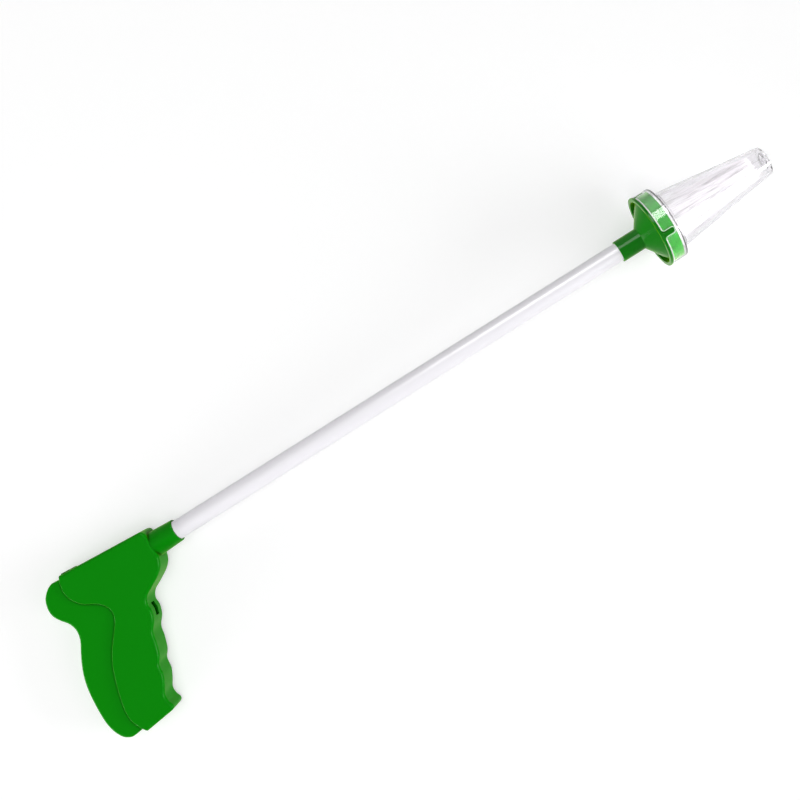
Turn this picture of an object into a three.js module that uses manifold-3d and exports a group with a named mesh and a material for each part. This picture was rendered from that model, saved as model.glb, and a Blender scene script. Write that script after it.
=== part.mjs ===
// Spider catcher: a squeeze grip on a long tube works a head of four hinged bristle tufts.
// Pushing the palm slider into the grip drives a rod through the tube. The hub on its end
// swings the tufts open like a flower. Letting go lets the return spring close them again.
// Millimetres. X runs along the tube towards the head, the grip hangs towards -Y, Z is up.
// X is 0 at the mouth of the grip's collar until the whole model is set on its lowest point.
import * as THREE from "three";
import { mergeGeometries, mergeVertices } from "three/addons/utils/BufferGeometryUtils.js";
import Module from "manifold-3d";

const wasm = await Module();
wasm.setup();

// Gaps between fixed and between sliding neighbours, the depth that ribs sink into their walls,
// how far a cut passes beyond a face, and the small chamfer on moulded edges
const SEAT_GAP = 0.3;
const SLIDE_GAP = 0.35;
const WALL_BITE = 0.4;
const CUT_MARGIN = 1;
const EDGE_CHAMFER = 0.5;

// Squeeze grip. Its outline points are measured from the middle of the collar's mouth.
const COLLAR_LENGTH = 19.8;
const COLLAR_DEPTH = 16.5;
const COLLAR_MOUTH_WALL = 1.5;
const COLLAR_ROOT_STEP = 0.7;
const GRIP_HALF_THICKNESS = 11;
const GRIP_WALL = 1.6;
const GRIP_FILLET = 2.4;
const GRIP_FILLET_STEPS = 3;
const GRIP_NOSE_TOP_Y = 9.6;
const GRIP_TOP_FRONT = [-24.2, 14.2];
const GRIP_TOP_REAR = [-93.4, 18.6];
const GRIP_BOTTOM_FRONT = [-75.8, -116.6];
const GRIP_BOTTOM_REAR = [-98.8, -119.7];
const HOOK_TIP = [-71.7, -112];
const HOOK_CORNER = [-70.7, -116.1];

// Chin, trigger hollow and the three finger hollows, from the nose down to the hooked end.
const FINGER_LINE = [
  [-COLLAR_LENGTH, -10],
  [-22.6, -16.6],
  [-28, -21.8],
  [-36.5, -26.8],
  [-43.2, -30.6],
  [-46.6, -36],
  [-46.7, -42.6],
  [-49.4, -50],
  [-54.6, -57],
  [-56.7, -65.5],
  [-60, -75],
  [-64.2, -81.2],
  [-65.6, -89.6],
  [-69, -96.8],
  [-72.6, -102.8],
  [-73, -108],
  HOOK_TIP,
];

// Rear rim of the grip's side walls, from the bottom up.
const RIM_LINE = [
  GRIP_BOTTOM_REAR,
  [-102.2, -114],
  [-104.9, -106.5],
  [-105, -97],
  [-101.9, -83.5],
  [-97.7, -70.3],
  [-93.4, -60.2],
  [-88.2, -51.6],
  [-80.8, -42.2],
  [-74.7, -34],
  [-72.7, -26.5],
  [-75.2, -19.6],
  [-81.6, -14],
  [-88.6, -9.9],
  [-94, -3.4],
  [-96.6, 4.6],
  [-95.6, 12],
  GRIP_TOP_REAR,
];

// Raised lip over the top of the grip's rear opening
const LIP_LENGTH = 7;
const LIP_HEIGHT = 0.7;
const LIP_HALF_WIDTH = 7.5;

// Palm slider and its travel
const SQUEEZE_STROKE = 11;
const SLIDER_FILLET = 2;
const PALM_TOP_X = -99;
const PALM_BOTTOM_X = -109;

// Back of the palm slider, from its top down.
const PALM_LINE = [
  [-103, 16.5],
  [-108.2, 13.8],
  [-112.8, 8.8],
  [-115.3, 1.6],
  [-114.9, -5.6],
  [-111.4, -12],
  [-107.2, -17.6],
  [-105.3, -24.6],
  [-107, -32.6],
  [-111.8, -41.2],
  [-116.8, -51],
  [-120.6, -61.6],
  [-122.8, -73],
  [-123.9, -86],
  [-124, -97],
  [-122.4, -106],
  [-118.6, -113.6],
  [-113.4, -117.3],
];

// Front edge of the palm slider inside the grip, from the bottom up.
const SLIDER_MOUTH_LINE = [
  [-88, -106],
  [-81, -90],
  [-72, -68],
  [-64, -48],
  [-60, -30],
  [-38, -14],
];

// Window in the finger side, and the two hooks behind it that keep the slider in
const WINDOW_TOP_Y = -37.2;
const WINDOW_HEIGHT = 10.7;
const WINDOW_HALF_WIDTH = 3;
const HOOK_THICKNESS = 2;
const HOOK_BARB = 2.4;
const HOOK_PLAY = 0.5;
const HOOK_REACH = 19.3;
const TONGUE_LENGTH = 18.3;
const WEB_ABOVE_WINDOW = 5.2;
const WEB_BELOW_WINDOW = 10;

// Tube
const TUBE_RADIUS = 7.7;
const TUBE_WALL = 1.2;
const TUBE_LENGTH = 440.1;
const ROUND_STEPS = 32;

// Rod with its anchor pin and guides, return spring, and the slider's boss that pushes both
const ROD_RADIUS = 2;
const ROD_TAIL = 8.5;
const ANCHOR_PIN_RADIUS = 0.8;
const ANCHOR_PIN_INSET = 24;
const GUIDE_FLANGE_THICKNESS = 1.6;
const GUIDE_FLANGE_PLAY = 1;
const REAR_GUIDE_LENGTH = 13.7;
const FRONT_GUIDE_LENGTH = 18;
const FRONT_GUIDE_INSET = 1;
const SPRING_LENGTH = 36.1;
const SPRING_WIRE_RADIUS = 0.6;
const SPRING_ROOM = 1.8;
const SPRING_TURNS = 10;
const SPRING_END_TURNS = 1;
const SPRING_END_GAP = 0.6;
const SPRING_STEPS_PER_TURN = 8;
const SPRING_SIDES = 5;
const BOSS_LIP = 0.2;
const BOSS_RIB_LENGTH = 20;
const BOSS_RIB_SETBACK = 2;
const BOSS_RIB_HALF_THICKNESS = 1;

// Head cup, from its neck on the tube to the band
const NECK_SEAT = 14.9;
const NECK_WALL = 1.2;
const CUP_FLOOR = 4.7;
const CUP_WALL = 1.6;
const CONE_LENGTH = 13;
const RECESS_DEPTH = 3.9;
const BAND_RADIUS = 29;
const BAND_WALL = 1.5;
const BAND_LIP = 4.85;
const BEAD_LENGTH = 2;
const BEAD_RISE = 0.5;
const KEY_COUNT = 4;
const KEY_FIRST_ANGLE = 15;
const KEY_WIDTH = 2.5;
const KEY_LENGTH = 8;
const KEY_INSET = 0.2;
const HEAD_STEPS = 56;

// Tuft hinges
const TUFT_COUNT = 4;
const HINGE_PIN_RADIUS = 0.8;
const HINGE_PIN_INSET = 0.3;
const BARREL_RADIUS = 1.8;
const BARREL_HALF_LENGTH = 5;
const BARREL_HEADROOM = 0.9;
const RING_WALL = 1.3;
const LUG_THICKNESS = 2.6;

// Hub on the rod's end, its screw, and the arms in its groove
const HUB_WALL = 2.3;
const HUB_CORE_RADIUS = 3.3;
const HUB_FLANGE_THICKNESS = 1.7;
const HUB_BOSS_LENGTH = 6.5;
const HUB_NOSE_LENGTH = 1;
const HUB_POCKET_PLAY = 1.2;
const HUB_REST_GAP = 2.4;
const THROAT_PLAY = 0.7;
const GROOVE_DEPTH = 4.1;
const GROOVE_PLAY = 0.6;
const ARM_HALF_THICKNESS = 0.9;
const ARM_HALF_WIDTH = 2;
const ARM_TIP_RADIUS = 1.2;
const SCREW_RADIUS = 0.7;
const SCREW_BITE = 5;
const SCREW_HEAD_RADIUS = 2.3;
const SCREW_HEAD_THICKNESS = 1.5;
const SCREW_HEAD_DEPTH = 1.6;

// Tuft holders and bristles
const HOLDER_SETBACK = 2.3;
const HOLDER_THICKNESS = 2.4;
const HOLDER_INNER_RADIUS = 4;
const HOLDER_HINGE_DROP = 4.4;
const HOLDER_MARGIN = 0.7;
const HOLDER_NECK_DEPTH = 3;
const GUSSET_FOOT = 4;
const GUSSET_HEIGHT = 8;
const TUFT_SLICE_THICKNESS = 1.4;
const TUFT_SLICE_INSET = 0.4;
const BRISTLE_LENGTH = 81.3;
const BRISTLE_UNEVENNESS = 1.2;
const BRISTLE_EDGE_INSET = 1.3;
const BRISTLE_ROWS = 9;
const BRISTLE_PITCH = 1.75;
const BRISTLE_MARGIN = 1.1;
const BRISTLE_TAPER_IN = 0.55;
const BRISTLE_ROOT_SIZE = 0.34;
const BRISTLE_TIP_SIZE = 0.2;
const BRISTLE_SIDES = 3;

// Clear cap, and the slots in its skirt that the keys go into
const CAP_WALL = 1.2;
const CAP_SKIRT_WALL = 1;
const CAP_HEADROOM = 2.5;
const CAP_SHOULDER_LENGTH = 3;
const CAP_SHOULDER_STEP = 6.1;
const CAP_TIP_ROOM = 12;
const CAP_TIP_RADIUS = 11.8;
const KEY_SIDE_PLAY = 1;
const KEY_END_PLAY = 1.8;
const SLOT_FLARE = 3;
const SLOT_CORNER = 1;

// Materials
const green = new THREE.MeshStandardMaterial({ color: 0x0a860a, roughness: 0.38, metalness: 0 });
const headGreen = new THREE.MeshStandardMaterial({ color: 0x107a0e, roughness: 0.35, metalness: 0 });
const tubeWhite = new THREE.MeshStandardMaterial({ color: 0xefecf2, roughness: 0.3, metalness: 0 });
const innerWhite = new THREE.MeshStandardMaterial({ color: 0xf2f2ef, roughness: 0.5, metalness: 0 });
const steel = new THREE.MeshStandardMaterial({ color: 0xb9bdc2, roughness: 0.35, metalness: 1 });
const bristleWhite = new THREE.MeshStandardMaterial({ color: 0xf4f4f6, roughness: 0.4, metalness: 0 });
const clear = new THREE.MeshStandardMaterial({
  color: 0xf5f8fa,
  roughness: 0.06,
  metalness: 0,
  transparent: true,
  opacity: 0.3,
});

const MERGE_DISTANCE = 1e-4;
const STRAIGHT_AREA = 1e-6;
const degrees = Math.PI / 180;

// A closed three.js geometry as a solid for cutting and joining, facing outwards.
function solid(geometry) {
  const bare = geometry.clone();
  for (const name of Object.keys(bare.attributes)) {
    if (name !== "position") bare.deleteAttribute(name);
  }
  const merged = mergeVertices(bare, MERGE_DISTANCE);
  const places = merged.getAttribute("position").array;
  const index = merged.getIndex().array;
  const corners = [];
  let volume = 0;
  const [p, q, r] = [new THREE.Vector3(), new THREE.Vector3(), new THREE.Vector3()];
  for (let i = 0; i < index.length; i += 3) {
    const [a, b, c] = [index[i], index[i + 1], index[i + 2]];
    if (a === b || b === c || c === a) continue;
    corners.push(a, b, c);
    volume += p.fromArray(places, 3 * a).dot(q.fromArray(places, 3 * b).cross(r.fromArray(places, 3 * c)));
  }
  if (volume < 0) corners.reverse();
  const mesh = new wasm.Mesh({
    numProp: 3,
    vertProperties: Float32Array.from(places),
    triVerts: Uint32Array.from(corners),
  });
  return new wasm.Manifold(mesh);
}

// A finished sub-part as a named mesh.
function piece(name, shape, material) {
  const { vertProperties, triVerts } = shape.getMesh();
  const geometry = new THREE.BufferGeometry();
  geometry.setAttribute("position", new THREE.BufferAttribute(vertProperties, 3));
  geometry.setIndex(new THREE.BufferAttribute(triVerts, 1));
  geometry.computeVertexNormals();
  const mesh = new THREE.Mesh(geometry, material);
  mesh.name = name;
  return mesh;
}

// Turns a profile of [x, radius] points about the X axis.
function turned(profile, steps = ROUND_STEPS) {
  const points = profile.map(([x, radius]) => new THREE.Vector2(radius, x));
  const onAxis = profile[0][1] === 0 && profile.at(-1)[1] === 0;
  if (!onAxis) points.push(points[0].clone());
  return solid(new THREE.LatheGeometry(points, steps).rotateZ(-Math.PI / 2));
}

// An outline from points, without those that lie on a straight line between their neighbours.
function shapeOf(points) {
  const bends = points.filter(([x, y], i) => {
    const [ax, ay] = points.at(i - 1);
    const [bx, by] = points[(i + 1) % points.length];
    return Math.abs((x - ax) * (by - y) - (y - ay) * (bx - x)) > STRAIGHT_AREA;
  });
  return new THREE.Shape(bends.map(([x, y]) => new THREE.Vector2(x, y)));
}

// A flat plate of this outline in X and Y, centred on Z, with rounded edges where asked.
function plate(points, halfThickness, fillet = 0) {
  const straight = 2 * (halfThickness - fillet);
  const geometry = new THREE.ExtrudeGeometry(shapeOf(points), {
    depth: straight,
    bevelEnabled: fillet > 0,
    bevelThickness: fillet,
    bevelSize: fillet,
    bevelOffset: -fillet,
    bevelSegments: GRIP_FILLET_STEPS,
  });
  return solid(geometry.translate(0, 0, -straight / 2));
}

// A plate of this outline in X and Z, centred on Y.
function uprightPlate(points, halfThickness) {
  const depth = 2 * halfThickness;
  const geometry = new THREE.ExtrudeGeometry(shapeOf(points), { depth, bevelEnabled: false });
  return solid(geometry.translate(0, 0, -halfThickness).rotateX(Math.PI / 2));
}

// A plate of this outline in Y and Z, from backX to frontX.
function crossPlate(shape, backX, frontX) {
  const options = { depth: frontX - backX, bevelEnabled: false, curveSegments: 10 };
  const geometry = new THREE.ExtrudeGeometry(shape, options);
  const [x, y, z] = [new THREE.Vector3(1, 0, 0), new THREE.Vector3(0, 1, 0), new THREE.Vector3(0, 0, 1)];
  geometry.applyMatrix4(new THREE.Matrix4().makeBasis(y, z, x));
  return solid(geometry.translate(backX, 0, 0));
}

// A box given by its lowest and highest corners.
function block(low, high) {
  const size = high.map((value, axis) => value - low[axis]);
  const middle = high.map((value, axis) => (value + low[axis]) / 2);
  return solid(new THREE.BoxGeometry(...size).translate(...middle));
}

// A round bar centred on a point, lying along Y or Z.
function roundBar(radius, length, centre, along, steps = 16) {
  const geometry = new THREE.CylinderGeometry(radius, radius, length, steps);
  if (along === "z") geometry.rotateX(Math.PI / 2);
  return solid(geometry.translate(...centre));
}

// A smooth line through a few points, as a list of points.
function smooth(points, stepsPerSpan = 2) {
  const curve = new THREE.SplineCurve(points.map(([x, y]) => new THREE.Vector2(x, y)));
  return curve.getPoints(stepsPerSpan * (points.length - 1)).map(({ x, y }) => [x, y]);
}

// A quarter-turn style rounding between two points, bulging towards a corner point.
function rounded(from, corner, to, steps = 4) {
  const ends = [from, corner, to].map(([x, y]) => new THREE.Vector2(x, y));
  const curve = new THREE.QuadraticBezierCurve(...ends);
  return curve.getPoints(steps).map(({ x, y }) => [x, y]);
}

// Moves a line of points to its right-hand side by a distance.
function shifted(points, distance) {
  return points.map(([x, y], i) => {
    const [ax, ay] = points[Math.max(i - 1, 0)];
    const [bx, by] = points[Math.min(i + 1, points.length - 1)];
    const length = Math.hypot(bx - ax, by - ay);
    return [x + (distance * (by - ay)) / length, y - (distance * (bx - ax)) / length];
  });
}

// Height of a straight line through two points at x.
function heightAt(x, [ax, ay], [bx, by]) {
  return ay + ((x - ax) * (by - ay)) / (bx - ax);
}

// Where a line of points, going down, crosses a height.
function lineAt(points, y) {
  const next = points.findIndex(([, height]) => height < y);
  const [[ax, ay], [bx, by]] = [points[next - 1], points[next]];
  return ax + ((y - ay) * (bx - ax)) / (by - ay);
}

const gripNoseX = -COLLAR_LENGTH;
const gripInnerNoseX = gripNoseX - GRIP_WALL;
const gripInnerHalf = GRIP_HALF_THICKNESS - GRIP_WALL;
const sliderHalf = gripInnerHalf - SLIDE_GAP;
const sliderInnerHalf = sliderHalf - GRIP_WALL;
const farRearX = Math.min(...PALM_LINE.map(([x]) => x)) - GRIP_HALF_THICKNESS;
const gripTopAt = (x) => heightAt(x, GRIP_TOP_FRONT, GRIP_TOP_REAR);
const gripBottomAt = (x) => heightAt(x, GRIP_BOTTOM_FRONT, GRIP_BOTTOM_REAR);

// Outside of the grip from its top rear corner over the nose to the bottom rear corner.
const gripFront = [
  GRIP_TOP_REAR,
  ...rounded(GRIP_TOP_FRONT, [gripNoseX, gripTopAt(gripNoseX)], [gripNoseX, GRIP_NOSE_TOP_Y]),
  ...smooth(FINGER_LINE),
  ...rounded(HOOK_TIP, HOOK_CORNER, GRIP_BOTTOM_FRONT).slice(1),
  GRIP_BOTTOM_REAR,
];

// The grip's outline run on far behind its rim, moved in by a wall where asked.
function farRear(points, inset) {
  return [[farRearX, gripTopAt(farRearX) - inset], ...points, [farRearX, gripBottomAt(farRearX) + inset]];
}

const tubeRearX = SEAT_GAP - COLLAR_DEPTH;
const tubeFrontX = tubeRearX + TUBE_LENGTH;
const tubeBoreRadius = TUBE_RADIUS - TUBE_WALL;
const tubeSocketRadius = TUBE_RADIUS + SEAT_GAP / 2;
const collarMouthRadius = TUBE_RADIUS + COLLAR_MOUTH_WALL;
const collarRootRadius = GRIP_HALF_THICKNESS - COLLAR_ROOT_STEP;
const windowBottomY = WINDOW_TOP_Y - WINDOW_HEIGHT;
const gripHookTopY = WINDOW_TOP_Y + HOOK_THICKNESS + SEAT_GAP;
const gripHookUnderY = gripHookTopY - HOOK_THICKNESS;
const gripHookRootX = lineAt(FINGER_LINE, gripHookUnderY) - GRIP_WALL / 2;
const gripHookEndX = gripHookRootX - HOOK_REACH;

// One moulding: U-shaped grip, closed at the fingers and open behind, with the tube's collar.
function frontGripShell() {
  const outside = plate(farRear(gripFront, 0), GRIP_HALF_THICKNESS, GRIP_FILLET);
  const inside = plate(farRear(shifted(gripFront, GRIP_WALL), GRIP_WALL), gripInnerHalf);
  const [farX, farAbove] = [farRearX - GRIP_HALF_THICKNESS, COLLAR_LENGTH + GRIP_TOP_REAR[1]];
  const farBelow = GRIP_BOTTOM_REAR[1] - COLLAR_LENGTH;
  const behindRim = plate(
    [...smooth(RIM_LINE), [farX, farAbove], [farX, farBelow]],
    GRIP_HALF_THICKNESS + CUT_MARGIN,
  );
  const lipBack = GRIP_TOP_REAR[0] + EDGE_CHAMFER;
  const lipFront = lipBack + LIP_LENGTH;
  const lip = plate(
    [
      [lipBack, gripTopAt(lipBack) - GRIP_WALL / 2],
      [lipBack + LIP_HEIGHT, gripTopAt(lipBack) + LIP_HEIGHT],
      [lipFront, gripTopAt(lipFront) + LIP_HEIGHT],
      [lipFront + 2 * LIP_HEIGHT, gripTopAt(lipFront) - GRIP_WALL / 2],
    ],
    LIP_HALF_WIDTH,
  );
  const collar = turned([
    [gripInnerNoseX, 0],
    [gripInnerNoseX, collarRootRadius - 2 * EDGE_CHAMFER],
    [gripNoseX - EDGE_CHAMFER, collarRootRadius],
    [-EDGE_CHAMFER, collarMouthRadius],
    [0, collarMouthRadius - EDGE_CHAMFER],
    [0, 0],
  ]);
  const bore = turned([
    [gripInnerNoseX - CUT_MARGIN, 0],
    [gripInnerNoseX - CUT_MARGIN, tubeBoreRadius],
    [-COLLAR_DEPTH, tubeBoreRadius],
    [-COLLAR_DEPTH, tubeSocketRadius],
    [CUT_MARGIN, tubeSocketRadius],
    [CUT_MARGIN, 0],
  ]);
  const windowX = lineAt(FINGER_LINE, windowBottomY);
  const window = block(
    [windowX - 2 * GRIP_WALL, windowBottomY, -WINDOW_HALF_WIDTH],
    [windowX + 3 * GRIP_WALL, WINDOW_TOP_Y, WINDOW_HALF_WIDTH],
  );
  const barbBottomY = gripHookUnderY - HOOK_BARB;
  const hook = plate(
    [
      [gripHookRootX, gripHookTopY],
      [gripHookEndX, gripHookTopY],
      [gripHookEndX, barbBottomY],
      [gripHookEndX + HOOK_THICKNESS, barbBottomY],
      [gripHookEndX + HOOK_THICKNESS, gripHookUnderY],
      [gripHookRootX, gripHookUnderY],
    ],
    WINDOW_HALF_WIDTH,
  );
  const shell = outside.subtract(inside).subtract(behindRim).add(lip);
  return shell.subtract(window).add(hook).add(collar).subtract(bore);
}

const guideRadius = tubeBoreRadius - SEAT_GAP;
const guideBore = ROD_RADIUS + SEAT_GAP;
const guideFlangeFront = gripInnerNoseX - SEAT_GAP;
const guideFlangeBack = guideFlangeFront - GUIDE_FLANGE_THICKNESS;
const springRadius = ROD_RADIUS + SPRING_ROOM + SPRING_WIRE_RADIUS;
const bossRadius = springRadius + SPRING_WIRE_RADIUS + BOSS_LIP;
const bossFrontX = guideFlangeBack - SPRING_LENGTH - 2 * SEAT_GAP;
const bossBackX = lineAt(PALM_LINE, 0) + GRIP_WALL - WALL_BITE;
const anchorPinX = bossBackX + ANCHOR_PIN_INSET;
const rodRearX = anchorPinX - ROD_TAIL;
const crossHoleRadius = ANCHOR_PIN_RADIUS + SEAT_GAP;

// Palm slider: a box moulding open to the front, with the rod's boss and the retaining hook.
function palmSlider() {
  const pushed = SQUEEZE_STROKE + SEAT_GAP;
  const inset = GRIP_WALL + SLIDE_GAP;
  const topAt = (x) => gripTopAt(x + pushed) - inset;
  const bottomAt = (x) => gripBottomAt(x + pushed) + inset;
  const topCornerX = SLIDER_MOUTH_LINE.at(-1)[0];
  const bottomCornerX = SLIDER_MOUTH_LINE[0][0] + GRIP_WALL / 2;
  const topCorner = [topCornerX, topAt(topCornerX)];
  const bottomCorner = [bottomCornerX, bottomAt(bottomCornerX)];
  const backTop = [PALM_TOP_X, topAt(PALM_TOP_X)];
  const backBottom = [PALM_BOTTOM_X, bottomAt(PALM_BOTTOM_X)];
  const back = smooth([backTop, ...PALM_LINE, backBottom]);
  const around = [...back, ...smooth([bottomCorner, ...SLIDER_MOUTH_LINE, topCorner])];
  const outside = plate(around, sliderHalf, SLIDER_FILLET);
  const inside = plate(shifted([...around, around[0]], -GRIP_WALL).slice(0, -1), sliderInnerHalf);
  const mouthMiddle = [
    [bottomCornerX, bottomCorner[1] + GRIP_WALL],
    ...SLIDER_MOUTH_LINE,
    [topCornerX, topCorner[1] - GRIP_WALL],
  ];
  const behindMouth = mouthMiddle.map(([x, y]) => [x - 3 * GRIP_WALL, y]);
  const beforeMouth = mouthMiddle.map(([x, y]) => [x + 5 * GRIP_WALL, y]);
  const opening = plate([...behindMouth, ...beforeMouth.toReversed()], sliderInnerHalf);
  const boss = turned([
    [bossBackX, 0],
    [bossBackX, bossRadius],
    [bossFrontX, bossRadius],
    [bossFrontX, 0],
  ]);
  const rodHole = turned([
    [rodRearX - SEAT_GAP, 0],
    [rodRearX - SEAT_GAP, guideBore],
    [bossFrontX + CUT_MARGIN, guideBore],
    [bossFrontX + CUT_MARGIN, 0],
  ]);
  const crossHole = roundBar(crossHoleRadius, 2 * (bossRadius + CUT_MARGIN), [anchorPinX, 0, 0], "z");
  const ribFrontX = bossFrontX - BOSS_RIB_SETBACK;
  const ribBackX = ribFrontX - BOSS_RIB_LENGTH;
  const rib = plate(
    [
      [ribBackX, bossRadius - WALL_BITE],
      [ribFrontX, bossRadius - WALL_BITE],
      [ribFrontX, topAt(ribFrontX) - GRIP_WALL + WALL_BITE],
      [ribBackX, topAt(ribBackX) - GRIP_WALL + WALL_BITE],
    ],
    BOSS_RIB_HALF_THICKNESS,
  );
  const tongueTopY = gripHookUnderY - HOOK_BARB - HOOK_PLAY;
  const tongueEndX = gripHookEndX + 2 * HOOK_THICKNESS + SEAT_GAP;
  const webFrontX = tongueEndX - TONGUE_LENGTH;
  const webHalf = sliderInnerHalf + WALL_BITE;
  const web = block(
    [webFrontX - GRIP_WALL, windowBottomY - WEB_BELOW_WINDOW, -webHalf],
    [webFrontX, WINDOW_TOP_Y + WEB_ABOVE_WINDOW, webHalf],
  );
  const tongue = plate(
    [
      [webFrontX - WALL_BITE, tongueTopY],
      [tongueEndX - HOOK_THICKNESS, tongueTopY],
      [tongueEndX - HOOK_THICKNESS, tongueTopY + HOOK_BARB],
      [tongueEndX, tongueTopY + HOOK_BARB / 4],
      [tongueEndX, tongueTopY - HOOK_THICKNESS],
      [webFrontX - WALL_BITE, tongueTopY - HOOK_THICKNESS],
    ],
    WINDOW_HALF_WIDTH,
  );
  const hollow = outside.subtract(inside).subtract(opening);
  return hollow.add(boss).add(rib).add(web).add(tongue).subtract(rodHole).subtract(crossHole);
}

// Long thin-walled tube, seated in the collar behind and in the cup's neck in front.
function outerTube() {
  return turned([
    [tubeRearX, tubeBoreRadius],
    [tubeRearX, TUBE_RADIUS],
    [tubeFrontX, TUBE_RADIUS],
    [tubeFrontX, tubeBoreRadius],
  ]);
}

// Flanged bush behind the collar: guides the rod and seats the return spring.
function rearRodGuide() {
  const flangeRadius = gripInnerHalf - GUIDE_FLANGE_PLAY;
  const front = guideFlangeFront + REAR_GUIDE_LENGTH;
  return turned([
    [guideFlangeBack, guideBore],
    [guideFlangeBack, flangeRadius],
    [guideFlangeFront, flangeRadius],
    [guideFlangeFront, guideRadius],
    [front, guideRadius],
    [front, guideBore],
  ]);
}

// Plain bush in the tube's front end.
function frontRodGuide() {
  const front = tubeFrontX - FRONT_GUIDE_INSET;
  return turned([
    [front - FRONT_GUIDE_LENGTH, guideBore],
    [front - FRONT_GUIDE_LENGTH, guideRadius],
    [front, guideRadius],
    [front, guideBore],
  ]);
}

// Cup: the cone runs from the neck out to the band, and the hinge ring seats on its inner face.
const neckRadius = TUBE_RADIUS + NECK_WALL;
const bandInnerRadius = BAND_RADIUS - BAND_WALL;
const neckMouthX = tubeFrontX - NECK_SEAT;
const coneStartX = tubeFrontX + CUP_FLOOR;
const coneEndX = coneStartX + CONE_LENGTH;
const coneSlope = Math.atan2(bandInnerRadius - neckRadius, CONE_LENGTH);
const coneWallX = CUP_WALL / Math.sin(coneSlope);
const bandBackX = coneEndX - RECESS_DEPTH;
const beadFrontX = bandBackX + BEAD_LENGTH;

// Hinges: their pins lie in the ring, and the holders' arms reach in to the hub's groove.
const ringOuterRadius = bandInnerRadius - SEAT_GAP;
const ringBackX = coneEndX + coneWallX + SEAT_GAP;
const hingeX = ringBackX + BARREL_RADIUS;
const hingeRadius = ringOuterRadius - RING_WALL - BARREL_HEADROOM - BARREL_RADIUS;
const pinHoleRadius = HINGE_PIN_RADIUS + SEAT_GAP;
const bandFrontX = hingeX + BAND_LIP;
const lugInner = BARREL_HALF_LENGTH + SEAT_GAP;
const lugOuter = lugInner + LUG_THICKNESS;

// Linkage: the arm's tip rests half the stroke behind the hinge, and is deepest at mid-stroke.
const armLength = hingeRadius - HUB_CORE_RADIUS - GROOVE_PLAY - ARM_TIP_RADIUS;
const armTipX = hingeX - SQUEEZE_STROKE / 2;
const armTipRadius = hingeRadius - Math.sqrt(armLength ** 2 - (SQUEEZE_STROKE / 2) ** 2);
const grooveBackX = armTipX - ARM_TIP_RADIUS - GROOVE_PLAY;
const grooveFrontX = armTipX + ARM_TIP_RADIUS + GROOVE_PLAY;
const hubBossRadius = guideBore + HUB_WALL;
const hubBackX = grooveBackX - HUB_FLANGE_THICKNESS - HUB_BOSS_LENGTH;
const hubFrontX = grooveFrontX + HUB_FLANGE_THICKNESS + HUB_NOSE_LENGTH;
const rodFrontX = grooveBackX - SEAT_GAP;
const screwTipX = rodFrontX - SCREW_BITE;
const screwHoleRadius = SCREW_RADIUS + SEAT_GAP;

function pushRod() {
  const bar = turned([
    [rodRearX, 0],
    [rodRearX, ROD_RADIUS],
    [rodFrontX, ROD_RADIUS],
    [rodFrontX, 0],
  ], ROUND_STEPS / 2);
  const screwHole = turned([
    [screwTipX - SEAT_GAP, 0],
    [screwTipX - SEAT_GAP, screwHoleRadius],
    [rodFrontX + CUT_MARGIN, screwHoleRadius],
    [rodFrontX + CUT_MARGIN, 0],
  ], ROUND_STEPS / 2);
  const crossHole = roundBar(crossHoleRadius, 2 * (ROD_RADIUS + CUT_MARGIN), [anchorPinX, 0, 0], "z");
  return bar.subtract(screwHole).subtract(crossHole);
}

function rodAnchorPin() {
  return roundBar(ANCHOR_PIN_RADIUS, 2 * (bossRadius - BOSS_LIP), [anchorPinX, 0, 0], "z");
}

// Hub on the rod's end. The arms of all four tuft holders sit in its groove.
function pusherHub() {
  const flangeRadius = HUB_CORE_RADIUS + GROOVE_DEPTH;
  const headSeatX = hubFrontX - SCREW_HEAD_DEPTH;
  const headHoleRadius = SCREW_HEAD_RADIUS + SEAT_GAP;
  return turned([
    [hubBackX, guideBore],
    [hubBackX, hubBossRadius],
    [grooveBackX - HUB_FLANGE_THICKNESS, hubBossRadius],
    [grooveBackX - HUB_FLANGE_THICKNESS, flangeRadius],
    [grooveBackX, flangeRadius],
    [grooveBackX, HUB_CORE_RADIUS],
    [grooveFrontX, HUB_CORE_RADIUS],
    [grooveFrontX, flangeRadius],
    [grooveFrontX + HUB_FLANGE_THICKNESS, flangeRadius - EDGE_CHAMFER],
    [hubFrontX, hubBossRadius],
    [hubFrontX, headHoleRadius],
    [headSeatX, headHoleRadius],
    [headSeatX, screwHoleRadius],
    [grooveBackX, screwHoleRadius],
    [grooveBackX, guideBore],
  ]);
}

function pusherScrew() {
  const headBackX = hubFrontX - SCREW_HEAD_DEPTH + SEAT_GAP;
  const headFrontX = headBackX + SCREW_HEAD_THICKNESS;
  return turned([
    [screwTipX, 0],
    [screwTipX, SCREW_RADIUS],
    [headBackX, SCREW_RADIUS],
    [headBackX, SCREW_HEAD_RADIUS],
    [headFrontX - EDGE_CHAMFER, SCREW_HEAD_RADIUS],
    [headFrontX, SCREW_HEAD_RADIUS - EDGE_CHAMFER],
    [headFrontX, 0],
  ], ROUND_STEPS / 2);
}

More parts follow.
